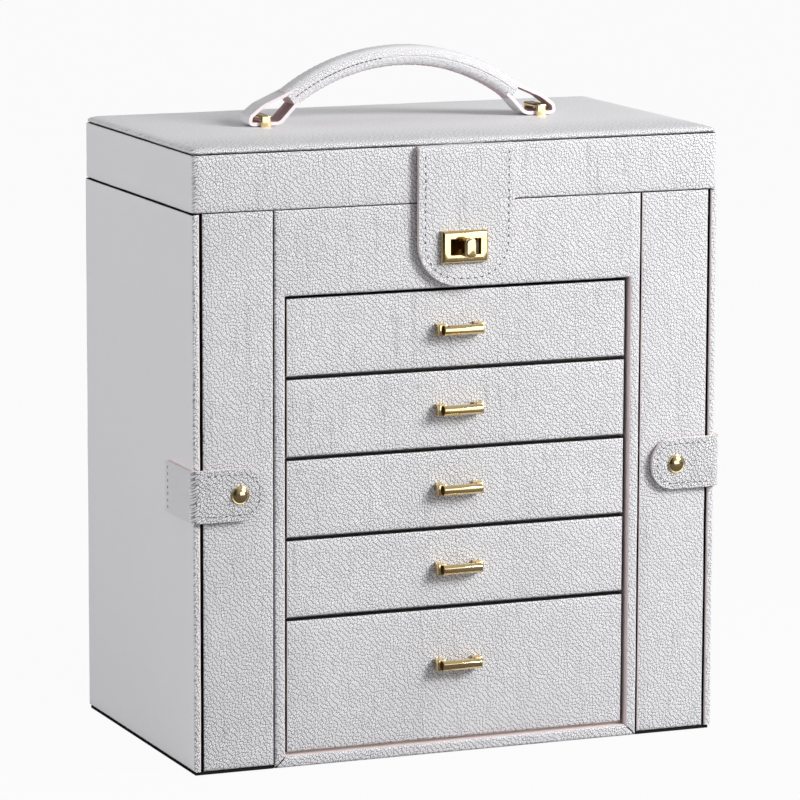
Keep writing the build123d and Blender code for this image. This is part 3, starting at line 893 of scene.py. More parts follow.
@dataclass(frozen=True)
class GoldPlate(Finish):
    """Pale gold plate on cast zinc: polished by tumbling, with faint marks from handling.

    Args:
        worn: colour of the plate where it is handled.
        marks: size of the marks each way, in millimetres.
    """

    worn: str = "#D6A964"
    marks: tuple[float, float, float] = (3.0, 3.0, 2.4)

    def surface(self, tree: Tree, shader: Node) -> None:
        """Vary the polish and the tone a little.

        Args:
            tree: the material's tree.
            shader: its Principled shader.
        """
        shader.inputs["Metallic"].default_value = 1.0
        place = self.spot(tree, self.marks)
        noise = add_node(tree, "TexNoise", {"Scale": 1.0, "Detail": 4.0}, Vector=place)
        marks = noise.outputs["Fac"]
        span = {1: 0.3, 2: 0.7, 3: self.roughness - 0.02, 4: self.roughness + 0.05}
        polish = add_node(tree, "MapRange", span, Value=marks)
        tree.links.new(polish.outputs[0], shader.inputs["Roughness"])
        share = add_node(tree, "MapRange", {1: 0.4, 2: 0.8, 3: 0.0, 4: 0.3}, Value=marks)
        tones = {"data_type": "RGBA", 6: linear(self.colour), 7: linear(self.worn)}
        colour = add_node(tree, "Mix", tones, _0=share.outputs[0])
        tree.links.new(colour.outputs[2], shader.inputs["Base Color"])
        bump = add_node(tree, "Bump", {"Distance": 0.01 * MM, "Strength": 0.15}, Height=marks)
        tree.links.new(bump.outputs[0], shader.inputs["Normal"])


@dataclass(frozen=True)
class Fibre(Finish):
    """Thread, felted paper or a painted leather edge: matt, with a fine uneven fibre.

    Args:
        fibre: length of a fibre in millimetres.
        depth: how much the fibres vary the colour.
        flattened: height of a fibre, as a share of its length.
    """

    fibre: float = 0.4
    depth: float = 0.25
    flattened: float = 0.4

    def surface(self, tree: Tree, shader: Node) -> None:
        """Vary colour and height along short fibres.

        Args:
            tree: the material's tree.
            shader: its Principled shader.
        """
        place = self.spot(tree, (self.fibre, self.fibre, self.fibre * self.flattened))
        noise = add_node(tree, "TexNoise", {"Scale": 1.0, "Detail": 3.0}, Vector=place)
        hairs = noise.outputs["Fac"]
        light = add_node(tree, "MapRange", {1: 0.3, 2: 0.7, 3: 1 - self.depth, 4: 1.0}, Value=hairs)
        tone = {"operation": "SCALE", 0: linear(self.colour)[:3]}
        colour = add_node(tree, "VectorMath", tone, Scale=light.outputs[0])
        tree.links.new(colour.outputs[0], shader.inputs["Base Color"])
        bump = add_node(tree, "Bump", {"Distance": 0.05 * MM, "Strength": 0.7}, Height=hairs)
        tree.links.new(bump.outputs[0], shader.inputs["Normal"])
        shader.inputs["Specular IOR Level"].default_value = 0.25


@dataclass(frozen=True)
class MirrorGlass(Finish):
    """Silvered float glass, with a very faint unevenness from the float bath.

    Args:
        ripple: distance between its waves in millimetres.
    """

    ripple: float = 60.0

    def surface(self, tree: Tree, shader: Node) -> None:
        """Silver the glass and let it ripple very slightly.

        Args:
            tree: the material's tree.
            shader: its Principled shader.
        """
        shader.inputs["Metallic"].default_value = 1.0
        place = self.spot(tree, (self.ripple,) * 3)
        noise = add_node(tree, "TexNoise", {"Scale": 1.0, "Detail": 1.0}, Vector=place)
        waves = noise.outputs["Fac"]
        bump = add_node(tree, "Bump", {"Distance": 0.004 * MM, "Strength": 0.2}, Height=waves)
        tree.links.new(bump.outputs[0], shader.inputs["Normal"])
        span = {1: 0.3, 2: 0.8, 3: self.roughness, 4: self.roughness * 2}
        haze = add_node(tree, "MapRange", span, Value=waves)
        tree.links.new(haze.outputs[0], shader.inputs["Roughness"])


# Embossed leatherette: satin white pebbles with painted grey shade in the hollows, fading on the
# sides. They are drawn 1 mm wide, as coarse as they need to show; real ones may be finer.
LEATHER = Leatherette("embossed_white_leatherette", Slot.LEATHER, "#F6F5F7", 0.5)
# The same folded into a strap: its hollows open, the grain deeper, the painted shade darker.
FOLDED = Leatherette(
    "folded_white_leatherette", Slot.LEATHER, "#F6F5F7", hollow="#626066", relief=0.4, side_fading=0.6
)
# The same stretched over a round core: a soft light skin in which the grain hardly shows.
STRETCHED = Leatherette(
    "stretched_white_leatherette", Slot.LEATHER, "#E4E3E5", 0.5, hollow="#C2C0C4", relief=0.16
)
# Cut leather edge, painted with a roller: a thin pinkish line. Its fibres are drawn 0.8 mm long,
# coarser than real ones, so that they show.
EDGE = Fibre("painted_leather_edge", Slot.LEATHER, "#F0DFDF", 0.55, fibre=0.8, depth=0.15)
# The same painted white, round the loops of the handle: a paler and more even line.
WHITE_EDGE = Fibre(
    "white_painted_leather_edge", Slot.LEATHER, "#E6DCDF", 0.5, fibre=0.8, depth=0.08
)
# Split leather, buffed on its flesh side: a dull mauve nap, drawn coarser than it is.
SUEDE = Fibre("split_suede_underside", Slot.LEATHER, "#D0BABF", 0.9, fibre=0.6, depth=0.35)
# Twisted polyester thread, pulled into the leather: short grey dashes, darkened with painted
# shade of the pits they sink into. Its fibres are drawn 0.3 mm long, coarser than real ones.
THREAD = Fibre("sewn_polyester_thread", Slot.LEATHER, "#6E6969", 0.6, fibre=0.3, depth=0.4)
# Nylon flock: warm grey and matt, slightly lighter where it is seen edge on. A tuft is drawn
# 0.5 mm wide, because a single fibre is too fine to show.
LINING = Velvet("flocked_velvet_lining", Slot.VELVET, "#C5BBB0", 0.9)
# Matt black felted paper: the black backing parts, and painted shade in the gaps, grooves and
# seams round the boards. Its fibres are drawn 0.9 mm long, so that they show.
BACKING_AND_GAP_SHADE = Fibre("black_backing_and_gap_shade", Slot.BACKING, "#1B1A1B", 0.95, fibre=0.9, depth=0.5)
# Gold plate, tumbled: sharp pale reflections with slightly duller patches.
GOLD = GoldPlate("tumbled_pale_gold_plate", Slot.GOLD, "#F7E0AC", 0.09)
# Dull brown brass: painted shade on the slot's walls, the pulls' bar ends and the lock base.
SHADED_BRASS = GoldPlate("painted_shade_brass", Slot.GOLD, "#6E4A22", 0.3, worn="#3A2410")
# Float glass with silver behind it: a clear, slightly cool reflection.
SILVER = MirrorGlass("silvered_float_glass", Slot.MIRROR, "#DCE2E4", 0.02)
CAD_FINISHES = {finish.slot.value: finish for finish in (LEATHER, LINING, BACKING_AND_GAP_SHADE, GOLD, SILVER)}


# Boards
def lies(value: float, place: float) -> bool:
    """Say whether a coordinate lies at a place, both in millimetres."""
    return abs(value - place) < NEAR


def lies_between(value: float, start: float, end: float) -> bool:
    """Say whether a coordinate lies from a start up to an end."""
    return start - NEAR <= value < end - NEAR


def on_plane(axis: int, place: float) -> Test:
    """Test of edges that lie in a plane across an axis.

    Args:
        axis: 0, 1 or 2 for X, Y or Z.
        place: the plane's coordinate in millimetres.

    Returns:
        A test of an edge's two ends.
    """
    return lambda start, end: lies(start[axis], place) and lies(end[axis], place)


def square_to(axis: int) -> Test:
    """Test of edges that lie square to an axis."""
    return lambda start, end: lies(start[axis], end[axis])


def running(axis: int) -> Test:
    """Test of edges that run along an axis, straight or at a slant."""
    return lambda start, end: not lies(start[axis], end[axis])


def all_of(*tests: Test) -> Test:
    """Test that passes where all the given ones pass."""
    return lambda start, end: all(test(start, end) for test in tests)


@dataclass
class Covering:
    """How leatherette lies over a board.

    Args:
        edge: radius of the rounded edge in millimetres.
        row: spacing of the rows that let it wave.
        swell: height of its waves.
        ripple: distance between waves.
    """

    edge: float = 1.4
    row: float = 6.0
    swell: float = 0.3
    ripple: float = 22.0

    def front_board(self, name: str, low: Place, high: Place) -> Workpiece:
        """Cover a board whose face looks to the front.

        Args:
            name: the piece's name.
            low: lowest corner in millimetres.
            high: highest corner.

        Returns:
            The covered board.
        """
        board = block(name, low, high)
        board.edges(on_plane(1, low[1])).bevel(self.edge)
        return self.settle(board, (0, 2))

    def settle(self, board: Workpiece, axes: Iterable[int]) -> Workpiece:
        """Cut rows across some axes, wave the covering and put it on.

        Args:
            board: the board.
            axes: the axes, 0 to 2.

        Returns:
            The board.
        """
        for axis in axes:
            board.rows(axis, self.row)
        return board.wave(self.swell, self.ripple).smooth().wear(LEATHER, BACKING_AND_GAP_SHADE, EDGE)

    @staticmethod
    def edges_and_gap_shade(board: Workpiece) -> Workpiece:
        """Paint the sides and top black as gap shade, and the left-facing rounded edge pinkish."""
        board.faces(lambda _, normal: -0.8 < normal.x < -0.45).paint(2)
        return board.faces(lambda _, normal: abs(normal.x) > 0.8 or normal.z > 0.75).paint(1)


@dataclass
class FrontBoards:
    """The case's front, between the doors: centre frame and strips.

    Args:
        cover: how its boards are covered.
        mitre_groove: width of the eased edge at a mitre, in millimetres.
        side_room: how far inside the frame's outer side its outer faces may lie.
        lip: how far past the hole the pinkish edge colour reaches.
    """

    cover: Covering = field(default_factory=Covering)
    mitre_groove: float = 0.35
    side_room: float = 2.0
    lip: float = 1.5

    def build(self) -> None:
        """Build the frame and the strips."""
        self.front_frame()
        self.strips()

    def front_frame(self) -> None:
        """Build the frame round the drawers as four mitred boards."""
        low, high = spans("front_frame")
        inner = spans("tray_floor")
        hole_x, hole_top = inner[1].x, inner[0].z
        edge = high.x - hole_x
        front = on_plane(1, low.y)
        panel = block("frame_panel", (low.x, low.y, hole_top), high)
        panel.edges(front).bevel(self.cover.edge)
        rail = block("frame_rail", low, (high.x, high.y, edge))
        rail.edges(all_of(front, square_to(2))).bevel(self.cover.edge)
        stile = block("frame_stile", low, (-hole_x, high.y, hole_top + edge))
        stile.edges(all_of(front, square_to(0))).bevel(self.cover.edge)
        for side in Side:
            panel.trim((side.value * hole_x, 0, hole_top), (side.value, 0, -1))
            rail.trim((side.value * high.x, 0, 0), (side.value, 0, 1))
        stile.trim((-high.x, 0, 0), (1, 0, -1)).trim((-hole_x, 0, hole_top), (1, 0, 1))
        pieces = [panel, rail, stile, stile.across("frame_stile_right")]
        for piece in pieces[1:]:
            piece.edges(lambda a, b: self._on_mitre(a, high.x) and self._on_mitre(b, high.x))
            piece.bevel(self.mitre_groove, segments=2)
        for piece in pieces:
            piece.outward()
            self.cover.settle(piece, (0, 2))
        whole = joined("drawer_frame", pieces)
        self._paint_frame(whole, high.x, hole_x, hole_top)
        whole.ride("box_body", "front_frame")

    def _paint_frame(self, whole: Workpiece, outer: float, hole_x: float, hole_top: float) -> None:
        """Paint shade black at mitres, outer left side and top, and the hole's inside pinkish.

        Args:
            whole: the frame.
            outer: X of its right side, in millimetres.
            hole_x: X of the right side of its hole.
            hole_top: Z of the hole's top.
        """
        whole.faces(lambda centre, _: self._on_mitre(centre, outer, self.mitre_groove)).paint(1)
        whole.faces(
            lambda centre, normal: (normal.x < -0.9 and centre.x < -hole_x - self.side_room)
            or (centre.z > hole_top and normal.z > 0.75)
        ).paint(1)
        whole.faces(
            lambda centre, normal: 0 < centre.z < hole_top
            and -hole_x < centre.x < hole_x + self.lip
            and (normal.x < -0.45 or normal.z > 0.85)
        ).paint(2)

    @staticmethod
    def _on_mitre(place: Vector, outer: float, near: float = NEAR) -> bool:
        """Say whether a place lies near one of the two lower mitres."""
        return abs(outer - abs(place.x) - place.z) < near and place.z < outer / 10

    def strips(self) -> None:
        """Build the strip on each side of the frame."""
        for side in Side:
            node = f"{side.word}_front_strip"
            strip = self.cover.front_board(f"{side.word}_strip", *spans(node))
            # Tops and outer sides painted black as gap shade; the right strip's left bevel pinkish.
            strip.faces(lambda _, normal: normal.z > 0.75 or abs(normal.x) > 0.8).paint(1)
            if side is Side.RIGHT:
                strip.faces(lambda _, normal: -0.8 < normal.x < -0.45).paint(2)
            strip.ride("box_body", node)


@dataclass
class Pull:
    """Metal pull of a drawer: a bevelled bar in front of two posts.

    Args:
        post: width of a post in millimetres.
        reach: how far a post stands out past the bar's end.
        longer: how much longer the pull looks than the solid it stands for, at each end.
        bar_height: height of the bar.
        bar_depth: depth of the bar.
        lap: how deep the bar sits in the posts.
        bevel: width of the bar's bevels.
        ease: width of the small rounding on every edge.
        softer: how many times wider the rounding is on the front of a post.
    """

    post: float = 4.6
    reach: float = 1.9
    longer: float = 1.4
    bar_height: float = 5.0
    bar_depth: float = 3.9
    lap: float = 0.4
    bevel: float = 1.3
    ease: float = 0.2
    softer: float = 2.2

    def build(self, name: str, low: Vector, high: Vector) -> Workpiece:
        """Build a pull between two corners.

        Args:
            name: the piece's name.
            low: lowest corner in millimetres.
            high: highest corner.

        Returns:
            The pull.
        """
        level = (low.z + high.z) / 2
        half = self.bar_height / 2
        outer = high.x + self.longer
        end, back = outer - self.reach, low.y + self.bar_depth
        bar = block(name, (-end, low.y, level - half), (end, back, level + half))
        bar.edges(all_of(on_plane(1, low.y), running(0))).bevel(self.bevel, segments=1)
        left = block("post", (-outer, back - self.lap, low.z), (self.post - outer, high.y, high.z))
        left.edges(on_plane(1, back - self.lap)).bevel(self.ease * self.softer, segments=3)
        right = left.across("post")
        for piece in (bar, left, right):
            piece.ease(self.ease, 3).wear(GOLD, SHADED_BRASS)
        # The bar's ends wear the dark brass: painted shade of the gap between bar and post.
        bar.faces(lambda _, normal: abs(normal.x) > 0.8).paint(1)
        return joined(name, [bar, left, right]).smooth(30)


@dataclass
class Drawers:
    """The five drawers, numbered from the top.

    Args:
        count: how many there are.
        cover: how their fronts are covered.
        pull: their pull.
    """

    count: int = 5
    cover: Covering = field(default_factory=Covering)
    pull: Pull = field(default_factory=Pull)

    def build(self) -> None:
        """Build the fronts and copy the pull from drawer to drawer."""
        low, high = spans("drawer_1_pull")
        first = self.pull.build("pull_1", low, high)
        pulls = [first]
        for number in range(2, self.count + 1):
            drop = spans(f"drawer_{number}_pull")[0].z - low.z
            pulls.append(first.copy(f"pull_{number}", (0, 0, drop)))
        for number, pull in enumerate(pulls, start=1):
            body = f"drawer_{number}"
            pull.ride(body, f"{body}_pull")
            front = self.cover.front_board(f"{body}_panel", *spans(f"{body}_front"))
            self.cover.edges_and_gap_shade(front).ride(body, f"{body}_front")


@dataclass
class Stitching:
    """A row of stitches in thick thread.

    Args:
        pitch: distance from stitch to stitch in millimetres.
        length: length of a stitch.
        width: width of the thread.
        sunk: height of a stitch's lower half, as a share of the upper half's.
    """

    pitch: float = 3.9
    length: float = 1.7
    width: float = 0.75
    sunk: float = 0.3

    def places(self, corners: Sequence[tuple[float, float]], radius: float) -> list[Stitch]:
        """Spread stitches along a route with rounded corners.

        Args:
            corners: points of the route in its plane, in millimetres.
            radius: of the route's corners.

        Returns:
            Place along both directions of the plane, and heading in radians, of each stitch.
        """
        route = [Vector((*corners[0], 0))]
        for before, corner, after in zip(corners, corners[1:], corners[2:]):
            here = Vector((*corner, 0))
            back = (Vector((*before, 0)) - here).normalized()
            onward = (Vector((*after, 0)) - here).normalized()
            half = back.angle(onward) / 2
            centre = here + (back + onward).normalized() * radius / math.sin(half)
            start = here + back * radius / math.tan(half) - centre
            end = here + onward * radius / math.tan(half) - centre
            for step in range(ARC_STEPS + 1):
                route.append(centre + start.slerp(end, step / ARC_STEPS) * radius)
        route.append(Vector((*corners[-1], 0)))
        found, walked = [], self.pitch / 2
        for start, end in pairwise(route):
            run = end - start
            while walked <= run.length:
                place = start + run.normalized() * walked
                found.append((place.x, place.y, math.atan2(run.y, run.x)))
                walked += self.pitch
            walked -= run.length
        return found

    def sew(self, name: str, places: Iterable[Stitch], plane: Matrix) -> Workpiece:
        """Copy one stitch to many places.

        Args:
            name: the piece's name.
            places: place and heading of each stitch in the plane, in millimetres.
            plane: matrix from the plane to the box, in metres.

        Returns:
            All the stitches as one piece.
        """
        size = {"radius": MM / 2, "stretch": (self.length, self.width, self.width)}
        stitch = added(
            name, bpy.ops.mesh.primitive_uv_sphere_add, segments=8, ring_count=5, **size
        )
        stitch.points(lambda place: place.z < 0).grow((0, 0, 0), 1, 1, self.sunk)
        stitch.smooth(60)
        copies = []
        for x, y, heading in places:
            turn = Matrix.Translation(mm(x, y, 0)) @ Matrix.Rotation(heading, 4, "Z")
            copies.append(stitch.turned(name, plane @ turn))
        bpy.data.objects.remove(stitch.thing)
        return joined(name, copies).wear(THREAD)


def front_plane(y: float) -> Matrix:
    """Matrix of a plane that looks to the front, with X and Z as its directions."""
    return Matrix.Translation(mm(0, y, 0)) @ Matrix.Rotation(math.pi / 2, 4, "X")


def rim_outline(piece: Workpiece, layer: float, groove: float) -> None:
    """Sink a groove between the two layers of a sewn edge.

    Args:
        piece: leather whose rim has its second finish.
        layer: thickness of a layer in millimetres.
        groove: depth of the groove.
    """
    rim = [face.material_index == 1 for face in piece.mesh.polygons]
    piece.select(Part.FACES, rim).inset(layer, -groove)


@dataclass
class Flap:
    """Lock flap of two leather layers, with its plate and the turning knob.

    Args:
        groove: depth of the dark line between the layers, in millimetres.
        layer: thickness of one layer.
        rows: height and width of the rows that let the leather wave.
        swell: height of its waves.
        ripple: distance between waves.
        stitch_inset: distance of the stitches from the edge.
        stitch_drop: how far under the lid's top the stitches start.
        stitches: how it is sewn.
        bend: radius of the bend at the lid's edge.
        lead: how far behind the lid's edge the bend starts.
        crease: how far under it the bend ends.
        plate_bevel: width of the plate's bevel.
        plate_ease: width of the small rounding on the plate's edges.
        slot: width and height of the plate's slot.
        slot_room: how far past the slot's edge its inner faces may lie.
        window_margin: clearance of the hole in the leather round the slot.
        end_flat: how much less than half its width the lower corners are rounded.
        aside: how far right of the plate's middle the leather is sewn.
        raised: how far its lower end lies above that of the solid.
        knob_edges: radius of the knob's corners, its front edge and its back edge.
        knob_gap: distance of the knob's head from the plate.
        neck: radius of the knob's neck.
    """

    groove: float = 0.35
    layer: float = 0.85
    rows: tuple[float, float] = (5.0, 6.0)
    swell: float = 0.25
    ripple: float = 18.0
    stitch_inset: float = 3.5
    stitch_drop: float = 4.0
    stitches: Stitching = field(default_factory=Stitching)
    bend: float = 1.5
    lead: float = 9.0
    crease: float = 5.0
    plate_bevel: float = 1.1
    plate_ease: float = 0.18
    slot: tuple[float, float] = (16.6, 8.2)
    slot_room: float = 0.1
    window_margin: float = 0.5
    end_flat: float = 4.5
    aside: float = 2.1
    raised: float = 1.6
    knob_edges: tuple[float, float, float] = (2.6, 0.9, 0.4)
    knob_gap: float = 0.4
    neck: float = 2.2

    def build(self) -> None:
        """Build the leather, its stitches, the plate and the knob."""
        self.leather()
        self.plate()
        self.knob()

    def window(self, margin: float, y: tuple[float, float]) -> Workpiece:
        """Build a block as large as the slot with a margin, between two Y values.

        Args:
            margin: width of the margin in millimetres.
            y: the two values.

        Returns:
            The block.
        """
        low, high = spans("lock_plate")
        middle = (low.z + high.z) / 2
        half_x, half_z = self.slot[0] / 2 + margin, self.slot[1] / 2 + margin
        return block("window", (-half_x, y[0], middle - half_z), (half_x, y[1], middle + half_z))

    def leather(self) -> None:
        """Build the leather as one strip round the lid's edge."""
        low, high = spans("lock_flap")
        end = spans("flap_anchor")[1]
        thickness = high.y - low.y
        middle_y, top = (low.y + high.y) / 2, end.z - thickness / 2
        tip = low.z + self.raised
        route = [(self.aside, end.y, top), (self.aside, middle_y, top), (self.aside, middle_y, tip)]
        flap = ribbon("lock_flap_leather", route, [self.bend], (high.x - low.x, 0, 0))
        radius = high.x - self.end_flat
        flap.points(lambda place: lies(place.z, tip)).bevel(radius, segments=14, corners=True)
        flap.rows(2, self.rows[0]).rows(0, self.rows[1])
        flap.wear(LEATHER, EDGE).thicken(thickness)
        flap.cut_out(self.window(self.window_margin, (low.y - 1, high.y + 1)))
        rim_outline(flap, self.layer, self.groove)
        flap.wave(self.swell, self.ripple).smooth()
        start, finish = (0, end.y - self.lead, end.z), (0, low.y, end.z - self.crease)
        flap.bend(("lid", "flap"), start, finish, "flap_anchor", "lock_flap")
        inset = self.stitch_inset
        left, right = self.aside - high.x + inset, self.aside + high.x - inset
        foot, head = tip + inset, end.z - self.stitch_drop
        corners = [(left, head), (left, foot), (right, foot), (right, head)]
        places = self.stitches.places(corners, radius - inset)
        self.stitches.sew("lock_flap_stitches", places, front_plane(low.y)).ride("flap")

    def plate(self) -> None:
        """Build the bevelled plate with its slot."""
        low, high = spans("lock_plate")
        plate = block("lock_face_plate", low, high)
        plate.edges(on_plane(1, low.y)).bevel(self.plate_bevel, segments=1)
        plate.cut_out(self.window(0, (low.y - 1, high.y + 1)))
        plate.ease(self.plate_ease, 2).smooth(20).wear(GOLD, SHADED_BRASS)
        room_x, room_z = (length / 2 + self.slot_room for length in self.slot)
        middle = (low.z + high.z) / 2
        # The slot's inner walls wear the dark brass: painted shade inside the slot.
        plate.faces(
            lambda centre, normal: abs(centre.x) < room_x
            and abs(centre.z - middle) < room_z
            and normal.y > -0.3
        )
        plate.paint(1).ride("flap", "lock_plate")

    def knob(self) -> None:
        """Build the oblong knob on its neck."""
        low, high = spans("lock_knob")
        middle = (low.z + high.z) / 2
        back = spans("lock_plate")[0].y - self.knob_gap
        corner, front, rear = self.knob_edges
        head = block("turn_knob", low, (high.x, back, high.z))
        head.edges(running(1)).bevel(corner, segments=6)
        head.edges(on_plane(1, low.y)).bevel(front, segments=4)
        head.edges(on_plane(1, back)).bevel(rear, segments=2)
        neck = rod("neck", self.neck, (0, back - 0.5, middle), (0, high.y, middle))
        neck.ease(0.2)
        joined("turn_knob", [head, neck]).smooth().wear(GOLD).ride("knob", "lock_knob")


@dataclass
class Snap:
    """Domed cap of a snap on its flat base, with the stem behind it.

    Args:
        base: thickness of the base in millimetres.
        step: width and depth of the step on the base's face.
        ease: radius of the base's edges.
        margin: width of the base round the dome.
        seat: distance of the dome's widest place from the strap.
        cut: distance of the dome's back from the strap.
        stem: radius of the stem.
    """

    base: float = 0.8
    step: tuple[float, float] = (0.5, 0.15)
    ease: float = 0.3
    margin: float = 0.45
    seat: float = 0.3
    cut: float = 0.2
    stem: float = 3.1

    def build(self, side: Side) -> None:
        """Build the snap of one side.

        Args:
            side: the side of the box.
        """
        node = f"{side.word}_snap_cap"
        low, high = spans(node)
        middle = (low + high) / 2
        x, z = middle.x, middle.z
        face = spans(f"{side.word}_strap")[0].y
        across = (high.x - low.x) / 2
        name = f"{side.word}_snap"
        base = rod(name, across, (x, face - self.base, z), (x, face, z), 48)
        base.faces(lambda _, normal: normal.y < -0.9).inset(self.step[0], -self.step[1])
        base.ease(self.ease, 3, 40)
        wide = (across - self.margin, across - self.margin, face - self.seat - low.y)
        place = {"rotation": (math.pi / 2, 0, 0), "location": mm(x, face - self.seat, z)}
        flats = {"segments": 48, "ring_count": 24, "radius": MM}
        dome = added("dome", bpy.ops.mesh.primitive_uv_sphere_add, wide, **place, **flats)
        dome.trim((0, face - self.cut, 0), (0, 1, 0))
        stem = rod("stem", self.stem, (x, face - self.cut, z), (x, high.y, z))
        cap = joined("dome", [base, dome])
        joined(name, [cap, stem]).smooth().wear(GOLD).ride(f"{side.word}_door_strap", node)


@dataclass
class DoorStrap:
    """Strap from a side door round the corner, with its snap.

    Args:
        side: the side of the box.
        layer: thickness of one leather layer, in millimetres.
        groove: depth of the line between the layers.
        cover: how its leather waves.
        bend: radius of its bend at the corner.
        crease: how far behind the corner the bend starts, and how far beside it it ends.
        end_flat: how much less than half its height the corners are rounded.
        rear_corner: radius of its two corners on the door.
        stitches: how it is sewn.
        stitch_inset: distance of the stitches from the edge.
        stitch_start: distance of the tab's first stitches from the corner.
        column: distance of the stitched column from the rear end, and from the long edges.
        snap: its snap.
    """

    side: Side
    layer: float = 0.75
    groove: float = 0.3
    cover: Covering = field(default_factory=lambda: Covering(row=5.0, swell=0.2, ripple=14.0))
    bend: float = 4.0
    crease: tuple[float, float] = (9.0, 8.0)
    end_flat: float = 1.3
    rear_corner: float = 1.2
    stitches: Stitching = field(default_factory=lambda: Stitching(3.4, 1.7, 0.6))
    stitch_inset: float = 2.9
    stitch_start: float = 7.0
    column: tuple[float, float] = (4.0, 1.5)
    snap: Snap = field(default_factory=Snap)

    def build(self) -> None:
        """Build the strap, its stitches and the snap."""
        word = self.side.word
        low = spans("left_strap")[0]
        strap = self.leather()
        tab, column = self.stitch_lines()
        if self.side is Side.RIGHT:
            pieces = (strap, tab, column)
            strap, tab, column = (piece.mirrored(piece.thing.name) for piece in pieces)
        sign = self.side.value
        start = (-sign * low.x, low.y + self.crease[0], 0)
        end = (-sign * (low.x + self.crease[1]), low.y, 0)
        nodes = (f"{word}_strap_anchor", f"{word}_strap")
        bodies = (f"{word}_side_door", f"{word}_door_strap")
        strap.bend(bodies, start, end, *nodes)
        tab.ride(bodies[1])
        column.ride(bodies[0])
        self.snap.build(self.side)

    @property
    def tip_radius(self) -> float:
        """Radius of the tab's round end, in millimetres."""
        low, high = spans("left_strap")
        return (high.z - low.z) / 2 - self.end_flat

    def leather(self) -> Workpiece:
        """Build the left strap as one strip round the corner.

        Returns:
            The strap.
        """
        low, high = spans("left_strap")
        anchor = spans("left_strap_anchor")
        thickness = high.y - low.y
        face_y, face_x = (low.y + high.y) / 2, anchor[0].x + thickness / 2
        level, rear = (low.z + high.z) / 2, anchor[1].y
        route = [(high.x, face_y, level), (face_x, face_y, level), (face_x, rear, level)]
        name = f"{self.side.word}_strap_leather"
        strap = ribbon(name, route, [self.bend], (0, 0, high.z - low.z))
        strap.points(lambda place: lies(place.x, high.x))
        strap.bevel(self.tip_radius, segments=9, corners=True)
        strap.points(lambda place: lies(place.y, rear))
        strap.bevel(self.rear_corner, segments=3, corners=True)
        for axis in range(3):
            strap.rows(axis, self.cover.row)
        strap.wear(FOLDED, EDGE).thicken(thickness)
        rim_outline(strap, self.layer, self.groove)
        return strap.wave(self.cover.swell, self.cover.ripple).smooth()

    def stitch_lines(self) -> tuple[Workpiece, Workpiece]:
        """Sew the line round the tab and the column at the strap's rear end.

        Returns:
            The line round the tab, and the column.
        """
        low, high = spans("left_strap")
        anchor = spans("left_strap_anchor")
        word = self.side.word
        inset = self.stitch_inset
        start, tip = low.x + self.stitch_start, high.x - inset
        top, foot = high.z - inset, low.z + inset
        corners = [(start, foot), (tip, foot), (tip, top), (start, top)]
        places = self.stitches.places(corners, self.tip_radius - inset)
        tab = self.stitches.sew(f"{word}_strap_stitches", places, front_plane(low.y))
        rear = anchor[1].y - self.column[0]
        line = [(rear, high.z - self.column[1]), (rear, low.z + self.column[1])]
        turn = Matrix(((0, 0, -1, 0), (-1, 0, 0, 0), (0, 1, 0, 0), (0, 0, 0, 1)))
        plane = Matrix.Translation(mm(anchor[0].x, 0, 0)) @ turn
        places = [(-x, y, heading) for x, y, heading in self.stitches.places(line, 1)]
        column = self.stitches.sew(f"{word}_strap_column", places, plane)
        return tab, column


@dataclass
class SideDoor:
    """A side door: covered board and velvet panel.

    Args:
        side: the side of the box.
        cover: how the board is covered.
        lining_inset: distance of the velvet panel from the door's edges, in millimetres.
        lining: thickness of the velvet panel.
        lining_corner: radius of the panel's corners.
        lining_ease: radius of the panel's edges.
        leaf_reach: room that the hinge leaves take at the rear.
    """

    side: Side
    cover: Covering = field(default_factory=lambda: Covering(swell=0.35, ripple=30))
    lining_inset: float = 7.0
    lining: float = 0.3
    lining_corner: float = 3.0
    lining_ease: float = 0.1
    leaf_reach: float = 15.0

    def build(self) -> None:
        """Build the board and the velvet on its inside."""
        word, sign = self.side.word, self.side.value
        low, high = spans(f"{word}_door")
        outside, inside = (low.x, high.x) if self.side is Side.LEFT else (high.x, low.x)
        board = block(f"{word}_door_board", low, high)
        board.edges(on_plane(0, outside)).bevel(self.cover.edge)
        board.edges(all_of(on_plane(0, inside), on_plane(1, low.y))).bevel(self.cover.edge)
        board.points(lambda place: lies(place.x, inside)).shift(sign * self.lining / 2, 0, 0)
        self.cover.settle(board, (1, 2))
        # Top and inner side painted black as gap shade; the inner side's front bevel pinkish.
        board.faces(lambda _, normal: normal.z > 0.75 or normal.x * sign < -0.7).paint(1)
        board.faces(lambda _, normal: normal.y < -0.3 and -0.95 < normal.x * sign < -0.3).paint(2)
        board.ride(f"{word}_side_door", f"{word}_door")
        near, far = sorted([inside, inside + sign * self.lining])
        edge, rear = self.lining_inset, high.y - self.leaf_reach
        corners = (near, low.y + edge, low.z + edge), (far, rear, high.z - edge)
        panel = block(f"{word}_door_lining", *corners)
        panel.edges(running(0)).bevel(self.lining_corner, 4)
        panel.ease(self.lining_ease).smooth().wear(LINING).ride(f"{word}_side_door")


